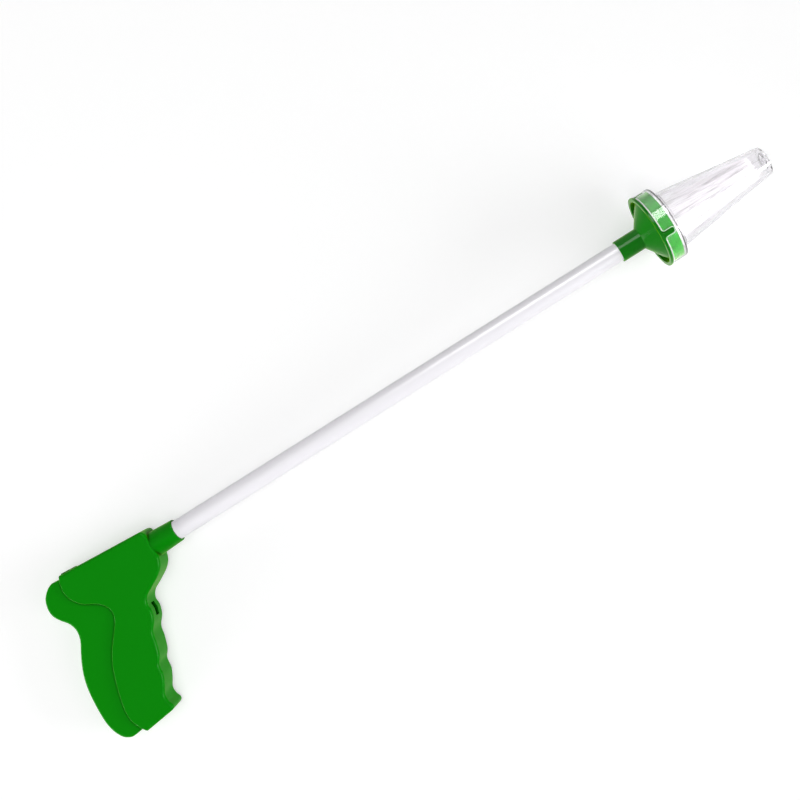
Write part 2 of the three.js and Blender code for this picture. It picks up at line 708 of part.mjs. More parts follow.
// Centres of the return spring's wire, from the slider's boss to the rear guide's flange.
function springCentres() {
  const first = bossFrontX + SPRING_WIRE_RADIUS + SEAT_GAP;
  const last = guideFlangeBack - SPRING_WIRE_RADIUS - SEAT_GAP;
  const endPitch = 2 * SPRING_WIRE_RADIUS + SPRING_END_GAP;
  const openTurns = SPRING_TURNS - 2 * SPRING_END_TURNS;
  const openPitch = (last - first - 2 * SPRING_END_TURNS * endPitch) / openTurns;
  return Array.from({ length: SPRING_TURNS * SPRING_STEPS_PER_TURN + 1 }, (_, step) => {
    const turn = step / SPRING_STEPS_PER_TURN;
    const endTurns = Math.min(turn, SPRING_END_TURNS) + Math.max(turn - SPRING_TURNS + SPRING_END_TURNS, 0);
    return { x: first + endTurns * endPitch + (turn - endTurns) * openPitch, angle: 2 * Math.PI * turn };
  });
}

// Return spring: one unbroken wire with closer end turns, round the rod.
function returnSpring() {
  const centres = springCentres();
  const places = centres.map(({ x, angle }) => {
    return new THREE.Vector3(x, springRadius * Math.cos(angle), springRadius * Math.sin(angle));
  });
  let leastGap = Infinity;
  places.forEach((one, i) => {
    for (const other of places.slice(i + SPRING_STEPS_PER_TURN / 2)) {
      leastGap = Math.min(leastGap, one.distanceTo(other) - 2 * SPRING_WIRE_RADIUS);
    }
  });
  console.log(`return_spring: least gap to itself ${leastGap.toFixed(2)} mm`);
  const positions = [];
  for (const { x, angle } of centres) {
    for (let side = 0; side < SPRING_SIDES; side += 1) {
      const around = (2 * Math.PI * side) / SPRING_SIDES;
      const radius = springRadius + SPRING_WIRE_RADIUS * Math.cos(around);
      positions.push(x + SPRING_WIRE_RADIUS * Math.sin(around));
      positions.push(radius * Math.cos(angle), radius * Math.sin(angle));
    }
  }
  return sweptSolid(positions, SPRING_SIDES);
}

// Closes rings of points, all with the same number of sides, into one solid with flat ends.
function sweptSolid(positions, sides) {
  const geometry = new THREE.BufferGeometry();
  geometry.setAttribute("position", new THREE.Float32BufferAttribute(positions, 3));
  geometry.setIndex(sweptIndex(positions.length / 3 / sides, sides));
  return solid(geometry);
}

function sweptIndex(rings, sides) {
  const index = [];
  for (let ring = 0; ring < rings - 1; ring += 1) {
    for (let side = 0; side < sides; side += 1) {
      const a = ring * sides + side;
      const b = ring * sides + ((side + 1) % sides);
      index.push(a, b, a + sides, b, b + sides, a + sides);
    }
  }
  const last = (rings - 1) * sides;
  for (let side = 1; side < sides - 1; side += 1) {
    index.push(0, side + 1, side, last, last + side, last + side + 1);
  }
  return index;
}

// Angles about the tube, in degrees, of evenly spaced copies of something made at the top.
function aroundHead(count, first = 0) {
  return Array.from({ length: count }, (_, i) => first + (360 * i) / count);
}

// Cup: neck sleeve, cone and band, with the back bead and the four keys for the cap's slots.
function headCup() {
  const pocketRadius = hubBossRadius + HUB_POCKET_PLAY;
  const pocketX = coneEndX + coneWallX - (bandInnerRadius - pocketRadius) / Math.tan(coneSlope);
  const throatX = hubBackX - HUB_REST_GAP;
  const throatRadius = guideBore + THROAT_PLAY;
  const floorX = tubeFrontX + SEAT_GAP;
  const cup = turned([
    [neckMouthX, tubeSocketRadius],
    [neckMouthX, neckRadius],
    [coneStartX, neckRadius],
    [coneEndX, bandInnerRadius],
    [bandBackX, bandInnerRadius],
    [bandBackX, beadRadius - EDGE_CHAMFER],
    [bandBackX + EDGE_CHAMFER, beadRadius],
    [beadFrontX - EDGE_CHAMFER, beadRadius],
    [beadFrontX, beadRadius - EDGE_CHAMFER],
    [beadFrontX, BAND_RADIUS],
    [bandFrontX, BAND_RADIUS],
    [bandFrontX, bandInnerRadius],
    [coneEndX + coneWallX, bandInnerRadius],
    [pocketX, pocketRadius],
    [throatX, pocketRadius],
    [throatX, throatRadius],
    [floorX, throatRadius],
    [floorX, tubeSocketRadius],
  ], HEAD_STEPS);
  const key = block(
    [beadFrontX - WALL_BITE, -KEY_WIDTH / 2, BAND_RADIUS - WALL_BITE - BAND_WALL / 2],
    [keyFrontX, KEY_WIDTH / 2, capSkirtRadius - KEY_INSET],
  );
  const angles = aroundHead(KEY_COUNT, KEY_FIRST_ANGLE);
  return angles.reduce((whole, angle) => whole.add(key.rotate(angle, 0, 0)), cup);
}

// Ring inside the band whose four pairs of lugs carry the hinge pins.
function hingeRing() {
  const frontX = hingeX + BARREL_RADIUS;
  const innerRadius = ringOuterRadius - RING_WALL;
  const ring = turned([
    [ringBackX, innerRadius],
    [ringBackX, ringOuterRadius],
    [frontX, ringOuterRadius],
    [frontX, innerRadius],
  ], HEAD_STEPS);
  const pinHole = roundBar(pinHoleRadius, 2 * (lugOuter + CUT_MARGIN), [hingeX, 0, hingeRadius], "y");
  const lugsAndGap = block(
    [ringBackX, -lugOuter, hingeRadius - BARREL_RADIUS],
    [frontX, lugOuter, innerRadius + WALL_BITE],
  );
  const barrelGap = block(
    [ringBackX - CUT_MARGIN, -lugInner, 0],
    [frontX + CUT_MARGIN, lugInner, innerRadius],
  );
  const withinRing = turned([
    [ringBackX, 0],
    [ringBackX, ringOuterRadius - WALL_BITE],
    [frontX, ringOuterRadius - WALL_BITE],
    [frontX, 0],
  ], HEAD_STEPS);
  const lugs = lugsAndGap.subtract(barrelGap).intersect(withinRing);
  let whole = ring;
  for (const angle of aroundHead(TUFT_COUNT)) {
    whole = whole.add(lugs.rotate(angle, 0, 0)).subtract(pinHole.rotate(angle, 0, 0));
  }
  return whole;
}

function pivotPin() {
  return roundBar(HINGE_PIN_RADIUS, 2 * (lugOuter - HINGE_PIN_INSET), [hingeX, 0, hingeRadius], "y");
}

const holderBackX = hingeX + HOLDER_SETBACK;
const holderFrontX = holderBackX + HOLDER_THICKNESS;
const holderOuterRadius = hingeRadius - HOLDER_HINGE_DROP;

// A quarter of a ring in Y and Z, standing on the Z axis, short of its neighbours by a margin.
function quarter(innerRadius, outerRadius, margin) {
  const reach = (radius) => Math.PI / TUFT_COUNT - Math.asin(margin / radius);
  const shape = new THREE.Shape();
  const middle = Math.PI / 2;
  shape.absarc(0, 0, outerRadius, middle - reach(outerRadius), middle + reach(outerRadius), false);
  shape.absarc(0, 0, innerRadius, middle + reach(innerRadius), middle - reach(innerRadius), true);
  shape.closePath();
  return shape;
}

// Tuft holder: hinge barrel, arm into the hub's groove, and the plate that carries the tuft.
function tuftHolder() {
  const along = [(hingeX - armTipX) / armLength, (hingeRadius - armTipRadius) / armLength];
  const onArm = (distance, side) => [
    armTipX + along[0] * distance - along[1] * side,
    armTipRadius + along[1] * distance + along[0] * side,
  ];
  const gussetX = holderBackX + WALL_BITE;
  const arm = uprightPlate(
    [
      onArm(0, ARM_HALF_THICKNESS),
      onArm(armLength, ARM_HALF_THICKNESS),
      [gussetX, holderOuterRadius - WALL_BITE],
      [gussetX, holderOuterRadius - GUSSET_HEIGHT],
      onArm(GUSSET_FOOT, -ARM_HALF_THICKNESS),
      onArm(0, -ARM_HALF_THICKNESS),
    ],
    ARM_HALF_WIDTH,
  );
  const tip = roundBar(ARM_TIP_RADIUS, 2 * ARM_HALF_WIDTH, [armTipX, 0, armTipRadius], "y", 12);
  const barrel = roundBar(BARREL_RADIUS, 2 * BARREL_HALF_LENGTH, [hingeX, 0, hingeRadius], "y", 20);
  const neck = uprightPlate(
    [
      [hingeX - BARREL_RADIUS / 2, hingeRadius - BARREL_RADIUS / 2],
      [hingeX + BARREL_RADIUS / 2, hingeRadius + BARREL_RADIUS / 2],
      [holderFrontX, holderOuterRadius - WALL_BITE],
      [holderFrontX, holderOuterRadius - HOLDER_NECK_DEPTH],
      [holderBackX, holderOuterRadius - HOLDER_NECK_DEPTH],
    ],
    BARREL_HALF_LENGTH,
  );
  const quarterDisc = quarter(HOLDER_INNER_RADIUS, holderOuterRadius, HOLDER_MARGIN);
  const disc = crossPlate(quarterDisc, holderBackX, holderFrontX);
  const pinHole = roundBar(pinHoleRadius, 2 * (BARREL_HALF_LENGTH + CUT_MARGIN), [hingeX, 0, hingeRadius], "y");
  return disc.add(arm).add(tip).add(neck).add(barrel).subtract(pinHole);
}

// One bristle: a thin taper from its root in the slice to its tip.
function bristle(root, tip) {
  const positions = [];
  for (const [[x, y, z], size] of [[root, BRISTLE_ROOT_SIZE], [tip, BRISTLE_TIP_SIZE]]) {
    for (let side = 0; side < BRISTLE_SIDES; side += 1) {
      const angle = (2 * Math.PI * side) / BRISTLE_SIDES;
      positions.push(x, y + size * Math.cos(angle), z + size * Math.sin(angle));
    }
  }
  const geometry = new THREE.BufferGeometry();
  geometry.setAttribute("position", new THREE.Float32BufferAttribute(positions, 3));
  geometry.setIndex(sweptIndex(2, BRISTLE_SIDES));
  return geometry;
}

const sliceBackX = holderFrontX + SEAT_GAP;
const sliceInnerRadius = HOLDER_INNER_RADIUS + TUFT_SLICE_INSET;
const sliceOuterRadius = holderOuterRadius - TUFT_SLICE_INSET;
const bristleTipX = sliceBackX + BRISTLE_LENGTH;

// Tuft: bristles in curved rows, drawn in towards the tip, fused to the slice that holds them.
function bristleTuft() {
  const sliceShape = quarter(sliceInnerRadius, sliceOuterRadius, HOLDER_MARGIN);
  const slice = crossPlate(sliceShape, sliceBackX, sliceBackX + TUFT_SLICE_THICKNESS);
  const rootX = sliceBackX + TUFT_SLICE_THICKNESS / 2;
  const innerRow = sliceInnerRadius + BRISTLE_EDGE_INSET;
  const rowStep = (sliceOuterRadius - BRISTLE_EDGE_INSET - innerRow) / (BRISTLE_ROWS - 1);
  const strands = [];
  for (let row = 0; row < BRISTLE_ROWS; row += 1) {
    const radius = innerRow + rowStep * row;
    const reach = Math.PI / TUFT_COUNT - Math.asin(BRISTLE_MARGIN / radius);
    const gaps = Math.floor((2 * reach * radius) / BRISTLE_PITCH);
    for (let i = 0; i <= gaps; i += 1) {
      const angle = reach * ((2 * i) / gaps - 1);
      const [y, z] = [radius * Math.sin(angle), radius * Math.cos(angle)];
      const tipX = bristleTipX - BRISTLE_UNEVENNESS * Math.abs(Math.sin(3 * row + 2 * i));
      strands.push(bristle([rootX, y, z], [tipX, y * BRISTLE_TAPER_IN, z * BRISTLE_TAPER_IN]));
    }
  }
  return { tuft: slice.add(solid(mergeGeometries(strands))), count: strands.length };
}

const capSkirtInnerRadius = BAND_RADIUS + SEAT_GAP;
const capSkirtRadius = capSkirtInnerRadius + CAP_SKIRT_WALL;
const capConeRadius = capSkirtRadius - CAP_SHOULDER_STEP;
const capSkirtBackX = beadFrontX + SEAT_GAP;
const capShoulderX = bandFrontX + CAP_HEADROOM;
const capConeX = capShoulderX + CAP_SHOULDER_LENGTH;
const capTipX = bristleTipX + CAP_TIP_ROOM;
const beadRadius = capSkirtRadius + BEAD_RISE;
const keyFrontX = beadFrontX + KEY_LENGTH;

// Slot for a key, cut through the skirt at the top: flared mouth, straight sides, round corners.
function keySlot() {
  const half = KEY_WIDTH / 2 + KEY_SIDE_PLAY;
  const mouthHalf = half + SLOT_FLARE;
  const endX = keyFrontX + KEY_END_PLAY;
  const outline = new THREE.Shape();
  outline.moveTo(capSkirtBackX - CUT_MARGIN, -mouthHalf);
  outline.lineTo(capSkirtBackX, -mouthHalf);
  outline.quadraticCurveTo(capSkirtBackX, -half, capSkirtBackX + SLOT_FLARE, -half);
  outline.lineTo(endX - SLOT_CORNER, -half);
  outline.quadraticCurveTo(endX, -half, endX, SLOT_CORNER - half);
  outline.lineTo(endX, half - SLOT_CORNER);
  outline.quadraticCurveTo(endX, half, endX - SLOT_CORNER, half);
  outline.lineTo(capSkirtBackX + SLOT_FLARE, half);
  outline.quadraticCurveTo(capSkirtBackX, half, capSkirtBackX, mouthHalf);
  outline.lineTo(capSkirtBackX - CUT_MARGIN, mouthHalf);
  const depth = capSkirtRadius - bandInnerRadius + CUT_MARGIN;
  const geometry = new THREE.ExtrudeGeometry(outline, { depth, bevelEnabled: false, curveSegments: 4 });
  return solid(geometry.translate(0, 0, bandInnerRadius));
}

// Clear cap: skirt over the band with four key slots, round shoulder, long cone, closed tip.
function clearCap() {
  const body = turned([
    [capTipX - CAP_WALL, 0],
    [capTipX - CAP_WALL, CAP_TIP_RADIUS - CAP_WALL],
    [capConeX, capConeRadius - CAP_WALL],
    [capConeX - 2 * EDGE_CHAMFER, capConeRadius - CAP_WALL + 2 * EDGE_CHAMFER],
    [capShoulderX, capSkirtInnerRadius - CAP_WALL],
    [capShoulderX - CAP_WALL, capSkirtInnerRadius],
    [capSkirtBackX, capSkirtInnerRadius],
    [capSkirtBackX, capSkirtRadius],
    [capShoulderX - EDGE_CHAMFER, capSkirtRadius],
    [capShoulderX + EDGE_CHAMFER, capSkirtRadius - EDGE_CHAMFER],
    [capConeX - EDGE_CHAMFER, capConeRadius + 2 * EDGE_CHAMFER],
    [capConeX + EDGE_CHAMFER, capConeRadius],
    [capTipX - EDGE_CHAMFER, CAP_TIP_RADIUS],
    [capTipX, CAP_TIP_RADIUS - EDGE_CHAMFER],
    [capTipX, 0],
  ], HEAD_STEPS);
  const slot = keySlot();
  const angles = aroundHead(KEY_COUNT, KEY_FIRST_ANGLE);
  return angles.reduce((whole, angle) => whole.subtract(slot.rotate(angle, 0, 0)), body);
}

const catcher = new THREE.Group();

const grip = new THREE.Group();
grip.add(piece("front_grip_shell", frontGripShell(), green));
grip.add(piece("palm_slider", palmSlider(), green));
grip.add(piece("rear_rod_guide", rearRodGuide(), innerWhite));
grip.add(piece("rod_anchor_pin", rodAnchorPin(), steel));
grip.add(piece("return_spring", returnSpring(), steel));
catcher.add(grip);

const shaft = new THREE.Group();
shaft.add(piece("outer_tube", outerTube(), tubeWhite));
shaft.add(piece("push_rod", pushRod(), steel));
shaft.add(piece("front_rod_guide", frontRodGuide(), innerWhite));
catcher.add(shaft);

const head = new THREE.Group();
head.add(piece("head_cup", headCup(), headGreen));
head.add(piece("hinge_ring", hingeRing(), headGreen));
head.add(piece("pusher_hub", pusherHub(), innerWhite));
head.add(piece("pusher_screw", pusherScrew(), steel));
head.add(piece("clear_cap", clearCap(), clear));

const holderShape = tuftHolder();
const pinShape = pivotPin();
const { tuft: tuftShape, count: bristlesPerTuft } = bristleTuft();
console.log(`bristle tufts: ${bristlesPerTuft * TUFT_COUNT} bristles in all`);
aroundHead(TUFT_COUNT).forEach((angle, i) => {
  const petal = new THREE.Group();
  petal.rotation.x = angle * degrees;
  petal.add(piece(`tuft_holder_${i + 1}`, holderShape, headGreen));
  petal.add(piece(`pivot_pin_${i + 1}`, pinShape, steel));
  petal.add(piece(`bristle_tuft_${i + 1}`, tuftShape, bristleWhite));
  head.add(petal);
});
catcher.add(head);

// Set the model over the origin, standing on its lowest point.
const extent = new THREE.Box3().setFromObject(catcher);
const centre = extent.getCenter(new THREE.Vector3());
catcher.position.set(-centre.x, -centre.y, -extent.min.z);

const model = new THREE.Group();
model.add(catcher);
export default model;
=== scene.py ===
"""Spider catcher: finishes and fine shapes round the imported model, lit and seen as in the photograph."""

import math
import random

import bmesh
import bpy
from mathutils import Matrix, Vector


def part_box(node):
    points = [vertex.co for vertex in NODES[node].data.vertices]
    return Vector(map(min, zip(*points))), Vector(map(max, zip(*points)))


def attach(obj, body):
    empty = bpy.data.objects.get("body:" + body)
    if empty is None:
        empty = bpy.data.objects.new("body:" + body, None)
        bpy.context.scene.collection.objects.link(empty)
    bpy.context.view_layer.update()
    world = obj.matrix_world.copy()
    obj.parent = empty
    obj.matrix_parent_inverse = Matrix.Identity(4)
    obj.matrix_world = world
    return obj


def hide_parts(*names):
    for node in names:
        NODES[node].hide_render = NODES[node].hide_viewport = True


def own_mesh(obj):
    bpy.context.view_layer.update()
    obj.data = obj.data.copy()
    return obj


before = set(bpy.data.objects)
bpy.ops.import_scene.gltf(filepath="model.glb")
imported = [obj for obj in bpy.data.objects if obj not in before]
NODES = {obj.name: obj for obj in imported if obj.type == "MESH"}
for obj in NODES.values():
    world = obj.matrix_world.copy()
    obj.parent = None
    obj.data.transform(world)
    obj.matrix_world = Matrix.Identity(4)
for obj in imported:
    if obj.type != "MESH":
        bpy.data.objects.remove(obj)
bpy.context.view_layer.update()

MM = 0.001
QUARTERS = (1, 2, 3, 4)


# Places read from the frame, in metres

tube_low, tube_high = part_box("outer_tube")
cup_low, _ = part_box("head_cup")
shell_low, shell_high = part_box("front_grip_shell")

AXIS_Y = (tube_low.y + tube_high.y) / 2
AXIS_Z = (tube_low.z + tube_high.z) / 2
COLLAR_MOUTH_X = shell_high.x


# Finishes. Sizes in them are in millimetres, and their patterns follow Object coordinates.

def linear(hex_colour):
    """An sRGB colour such as "#0a860a" as linear red, green, blue and alpha."""
    channels = [int(hex_colour[i : i + 2], 16) / 255 for i in (1, 3, 5)]
    return [c / 12.92 if c <= 0.04045 else ((c + 0.055) / 1.055) ** 2.4 for c in channels] + [1.0]


def plug(tree, node, inputs):
    """Gives each named or numbered input of a node another node's output, or a plain value."""
    for name, value in inputs.items():
        if isinstance(value, bpy.types.NodeSocket):
            tree.links.new(value, node.inputs[name])
        else:
            node.inputs[name].default_value = value


def add_node(tree, kind, inputs, **settings):
    """Adds a node with its settings, and plugs in its inputs."""
    node = tree.nodes.new(kind)
    for name, value in settings.items():
        setattr(node, name, value)
    plug(tree, node, inputs)
    return node


def new_material(name):
    """A new material, with its node tree and its shader."""
    material = bpy.data.materials.new(name)
    material.use_nodes = True
    return material, material.node_tree, material.node_tree.nodes["Principled BSDF"]


# A spark-eroded mould leaves a grain of about 0.1 mm. It is drawn coarser, so that it shows.
GREEN_GRAIN = 0.5
PIGMENT_FLOW = 22


def moulded_green(name, colour, flow_colour, roughness, gloss, grain_depth):
    """Injection-moulded polypropylene: the mould's fine grain softens its highlights, the pigment is
    faintly mottled where it flowed, and a yellowish sheen lightens it where it curves away."""
    material, tree, shader = new_material(name)
    places = add_node(tree, "ShaderNodeTexCoord", {}).outputs["Object"]
    flow = add_node(tree, "ShaderNodeTexNoise", {"Vector": places, "Scale": 1 / (PIGMENT_FLOW * MM)})
    mottle = add_node(
        tree, "ShaderNodeMix", {"Factor": flow.outputs["Fac"], 6: linear(colour), 7: linear(flow_colour)},
        data_type="RGBA",
    )
    grain = add_node(
        tree, "ShaderNodeTexNoise", {"Vector": places, "Scale": 1 / (GREEN_GRAIN * MM), "Detail": 3.0}
    )
    bump = add_node(
        tree, "ShaderNodeBump",
        {"Height": grain.outputs["Fac"], "Strength": 0.25, "Distance": grain_depth * MM},
    )
    plug(
        tree, shader,
        {
            "Base Color": mottle.outputs[2], "Normal": bump.outputs["Normal"],
            "Roughness": roughness, "IOR": 1.49, "Specular IOR Level": gloss,
            "Sheen Weight": 0.8, "Sheen Roughness": 0.35, "Sheen Tint": linear("#96d820"),
        },
    )
    return material


# The grip is a deep pure green, satin as moulded
grip_green = moulded_green("moulded polypropylene, grip green", "#008402", "#018605", 0.36, 0.05, 0.02)

# The head comes from a polished mould, so it is glossier, and a darker green
head_green = moulded_green("moulded polypropylene, head green", "#037503", "#057a05", 0.1, 0.1, 0.003)

# Painted shade in the grip's corners and beside the shell's rim: how far it reaches in mm, how fast it falls
# off, and its darkest green
PAINTED_SHADE_REACH = 2.6
PAINTED_SHADE_FALL = 2.2
PAINTED_SHADE_GREEN = "#012c01"


def painted_corner_shade(material):
    """Paints shade into the colour where another surface stands close, as in the step beside the shell's
    rim: a painted shade that darkens towards the painted shade green the nearer the other surface stands.
    """
    tree = material.node_tree
    base_colour = tree.nodes["Principled BSDF"].inputs["Base Color"]
    openness = add_node(tree, "ShaderNodeAmbientOcclusion", {"Distance": PAINTED_SHADE_REACH * MM}, samples=8)
    share = add_node(
        tree, "ShaderNodeMath", {0: openness.outputs["AO"], 1: PAINTED_SHADE_FALL}, operation="POWER"
    )
    shaded = add_node(
        tree, "ShaderNodeMix",
        {"Factor": share.outputs[0], 6: linear(PAINTED_SHADE_GREEN), 7: base_colour.links[0].from_socket},
        data_type="RGBA",
    )
    tree.links.new(shaded.outputs[2], base_colour)


# The grip's green gets painted shade where surfaces stand close, such as beside the shell's rim
painted_corner_shade(grip_green)


def moulded_acetal():
    """Moulded acetal, for the pieces that slide: white, matt and a little waxy, with a fine even grain."""
    material, tree, shader = new_material("moulded acetal, natural white")
    places = add_node(tree, "ShaderNodeTexCoord", {}).outputs["Object"]
    grain = add_node(tree, "ShaderNodeTexNoise", {"Vector": places, "Scale": 1 / (0.6 * MM), "Detail": 2.0})
    bump = add_node(
        tree, "ShaderNodeBump", {"Height": grain.outputs["Fac"], "Strength": 0.2, "Distance": 0.01 * MM}
    )
    plug(
        tree, shader,
        {
            "Base Color": linear("#eeeeea"), "Normal": bump.outputs["Normal"],
            "Roughness": 0.5, "IOR": 1.48,
        },
    )
    return material


acetal_white = moulded_acetal()

# A die's lines are far longer than they are wide
LINE_STRETCH = (0.02, 1, 1)
LINE_DEPTH = 0.004


def drawn_along_x(name, roughness, line_width, shader_inputs):
    """A drawn or extruded surface: the die leaves fine lines along it, so its gloss varies across it."""
    material, tree, shader = new_material(name)
    places = add_node(tree, "ShaderNodeTexCoord", {}).outputs["Object"]
    stretch = add_node(tree, "ShaderNodeMapping", {"Vector": places, "Scale": LINE_STRETCH})
    lines = add_node(
        tree, "ShaderNodeTexNoise",
        {"Vector": stretch.outputs["Vector"], "Scale": 1 / (line_width * MM), "Detail": 3.0},
    )
    shine = add_node(
        tree, "ShaderNodeMapRange",
        {"Value": lines.outputs["Fac"], "To Min": roughness * 0.85, "To Max": roughness * 1.15},
    )
    bump = add_node(
        tree, "ShaderNodeBump",
        {"Height": lines.outputs["Fac"], "Strength": 0.3, "Distance": LINE_DEPTH * MM},
    )
    plug(
        tree, shader,
        {"Roughness": shine.outputs["Result"], "Normal": bump.outputs["Normal"], **shader_inputs},
    )
    return material


# Extruded rigid PVC tube: white with a breath of violet, satin, its lines too faint to count
tube_white = drawn_along_x(
    "extruded PVC, white", 0.34, 1.4, {"Base Color": linear("#f3f1f6"), "IOR": 1.53}
)

# Drawn stainless wire and rod: bright, with its lines along the draw
drawn_steel = drawn_along_x(
    "drawn stainless steel", 0.3, 0.7, {"Base Color": linear("#c4c6c9"), "Metallic": 1.0}
)


def let_light_through(tree, shader, tint):
    """Lets the lamps' light pass straight through, so that a clear piece throws only a faint shadow."""
    clear = add_node(tree, "ShaderNodeBsdfTransparent", {"Color": linear(tint)})
    rays = add_node(tree, "ShaderNodeLightPath", {})
    choice = add_node(
        tree, "ShaderNodeMixShader",
        {"Fac": rays.outputs["Is Shadow Ray"], 1: shader.outputs["BSDF"], 2: clear.outputs["BSDF"]},
    )
    tree.links.new(choice.outputs["Shader"], tree.nodes["Material Output"].inputs["Surface"])


# Flow lines in the cap. The flow changes this often in a metre along it, and in a radian round it.
FLOW_ALONG = 6
FLOW_ROUND = 5.5
# A line shows where the flow passes a multiple of this step, and is this wide in the same measure.
FLOW_STEP = 0.06
FLOW_LINE = 0.012
SKIN_WAVE = 7
SKIN_WAVE_STRETCH = (0.12, 1, 1)
SKIN_WAVE_DEPTH = 0.12


def clear_moulding():
    """Clear polystyrene: hard and glossy. Slow waves in its skin bend what shows behind it, and faint grey
    flow lines run along it, where the melt filled the mould."""
    material, tree, shader = new_material("moulded clear polystyrene")
    places = add_node(tree, "ShaderNodeTexCoord", {}).outputs["Object"]
    from_axis = add_node(tree, "ShaderNodeMapping", {"Vector": places, "Location": (0, -AXIS_Y, -AXIS_Z)})
    parts = add_node(tree, "ShaderNodeSeparateXYZ", {"Vector": from_axis.outputs["Vector"]})
    angle = add_node(
        tree, "ShaderNodeMath", {0: parts.outputs["Y"], 1: parts.outputs["Z"]}, operation="ARCTAN2"
    )
    unrolled = add_node(tree, "ShaderNodeCombineXYZ", {"X": parts.outputs["X"], "Y": angle.outputs[0]})
    spread = add_node(
        tree, "ShaderNodeMapping",
        {"Vector": unrolled.outputs["Vector"], "Scale": (FLOW_ALONG, FLOW_ROUND, 1)},
    )
    flow = add_node(
        tree, "ShaderNodeTexNoise", {"Vector": spread.outputs["Vector"], "Scale": 1.0, "Detail": 1.5}
    )
    steps = add_node(
        tree, "ShaderNodeMath", {0: flow.outputs["Fac"], 1: FLOW_STEP}, operation="PINGPONG"
    )
    lines = add_node(
        tree, "ShaderNodeMapRange",
        {"Value": steps.outputs[0], "From Max": FLOW_LINE, "To Min": 1.0, "To Max": 0.0},
    )
    tint = add_node(
        tree, "ShaderNodeMix",
        {"Factor": lines.outputs["Result"], 6: linear("#f8f7f9"), 7: linear("#d6d4d6")},
        data_type="RGBA",
    )
    stretch = add_node(tree, "ShaderNodeMapping", {"Vector": places, "Scale": SKIN_WAVE_STRETCH})
    waves = add_node(
        tree, "ShaderNodeTexNoise",
        {"Vector": stretch.outputs["Vector"], "Scale": 1 / (SKIN_WAVE * MM), "Detail": 1.0},
    )
    bump = add_node(
        tree, "ShaderNodeBump",
        {"Height": waves.outputs["Fac"], "Strength": 0.25, "Distance": SKIN_WAVE_DEPTH * MM},
    )
    plug(
        tree, shader,
        {
            "Base Color": tint.outputs[2], "Normal": bump.outputs["Normal"],
            "Roughness": 0.1, "IOR": 1.5, "Transmission Weight": 1.0,
        },
    )
    let_light_through(tree, shader, "#e2e2e4")
    return material


clear_plastic = clear_moulding()


def clear_moulding_edge():
    """The same plastic where the mould parts: the thin edge is matt and gathers light, so it looks white."""
    material, tree, shader = new_material("moulded clear polystyrene, matt edge")
    places = add_node(tree, "ShaderNodeTexCoord", {}).outputs["Object"]
    grain = add_node(tree, "ShaderNodeTexNoise", {"Vector": places, "Scale": 1 / (0.4 * MM)})
    bump = add_node(
        tree, "ShaderNodeBump", {"Height": grain.outputs["Fac"], "Strength": 0.3, "Distance": 0.02 * MM}
    )
    plug(
        tree, shader,
        {
            "Base Color": linear("#fafcfa"), "Normal": bump.outputs["Normal"],
            "Roughness": 0.35, "IOR": 1.5,
        },
    )
    return material


clear_edge = clear_moulding_edge()


def nylon_filament():
    """Nylon monofilament: translucent white, each strand lighter or duller in places along its length."""
    material, tree, shader = new_material("nylon filament, natural")
    places = add_node(tree, "ShaderNodeTexCoord", {}).outputs["Object"]
    stretch = add_node(tree, "ShaderNodeMapping", {"Vector": places, "Scale": (0.06, 1, 1)})
    tone = add_node(
        tree, "ShaderNodeTexNoise", {"Vector": stretch.outputs["Vector"], "Scale": 1 / (2.2 * MM)}
    )
    shade = add_node(
        tree, "ShaderNodeMapRange", {"Value": tone.outputs["Fac"], "From Min": 0.5, "From Max": 0.68}
    )
    colour = add_node(
        tree, "ShaderNodeMix",
        {"Factor": shade.outputs["Result"], 6: linear("#efedee"), 7: linear("#aeacad")},
        data_type="RGBA",
    )
    plug(
        tree, shader,
        {"Base Color": colour.outputs[2], "Roughness": 0.6, "IOR": 1.53, "Specular IOR Level": 0.1},
    )
    let_light_through(tree, shader, "#cfcdce")
    return material


bristle_nylon = nylon_filament()

# Pieces that keep the shape of their solid
for finish, nodes in (
    (acetal_white, ["rear_rod_guide", "front_rod_guide", "pusher_hub"]),
    (drawn_steel, ["push_rod", "rod_anchor_pin", "pusher_screw", *(f"pivot_pin_{i}" for i in QUARTERS)]),
    (head_green, ["hinge_ring", *(f"tuft_holder_{i}" for i in QUARTERS)]),
):
    for node in nodes:
        NODES[node].data.materials.clear()
        NODES[node].data.materials.append(finish)


# Modelling. Shapes are made in millimetres on the tube's axis, with X = 0 at the collar's mouth.

ON_AXIS = Matrix.Translation(Vector((COLLAR_MOUTH_X, AXIS_Y, AXIS_Z))) @ Matrix.Scale(MM, 4)
# Points nearer than this are one point
WELD = 0.001
# A cutting shape reaches this far past what it cuts
CUT_MARGIN = 1.0
# A joined shape reaches this far into what it joins
OVERLAP = 0.4
# In degrees: edges sharper than this are shaded crisp, and those of a square corner are sharper than that
CREASE = 35
SQUARE = 60


def spun(profile, steps):
    """A closed profile of (x, radius) points turned about the tube's axis."""
    bm = bmesh.new()
    corners = [bm.verts.new((x, 0, radius)) for x, radius in profile]
    lines = [bm.edges.new(pair) for pair in zip(corners, corners[1:] + corners[:1])]
    bmesh.ops.spin(
        bm, geom=corners + lines, cent=(0, 0, 0), axis=(1, 0, 0), angle=math.tau, steps=steps, use_merge=True
    )
    bmesh.ops.remove_doubles(bm, verts=bm.verts, dist=WELD)
    # A line of the profile that lies on the axis leaves an edge with no face
    bmesh.ops.delete(bm, geom=[edge for edge in bm.edges if edge.is_wire], context="EDGES")
    bmesh.ops.recalc_face_normals(bm, faces=bm.faces)
    return bm


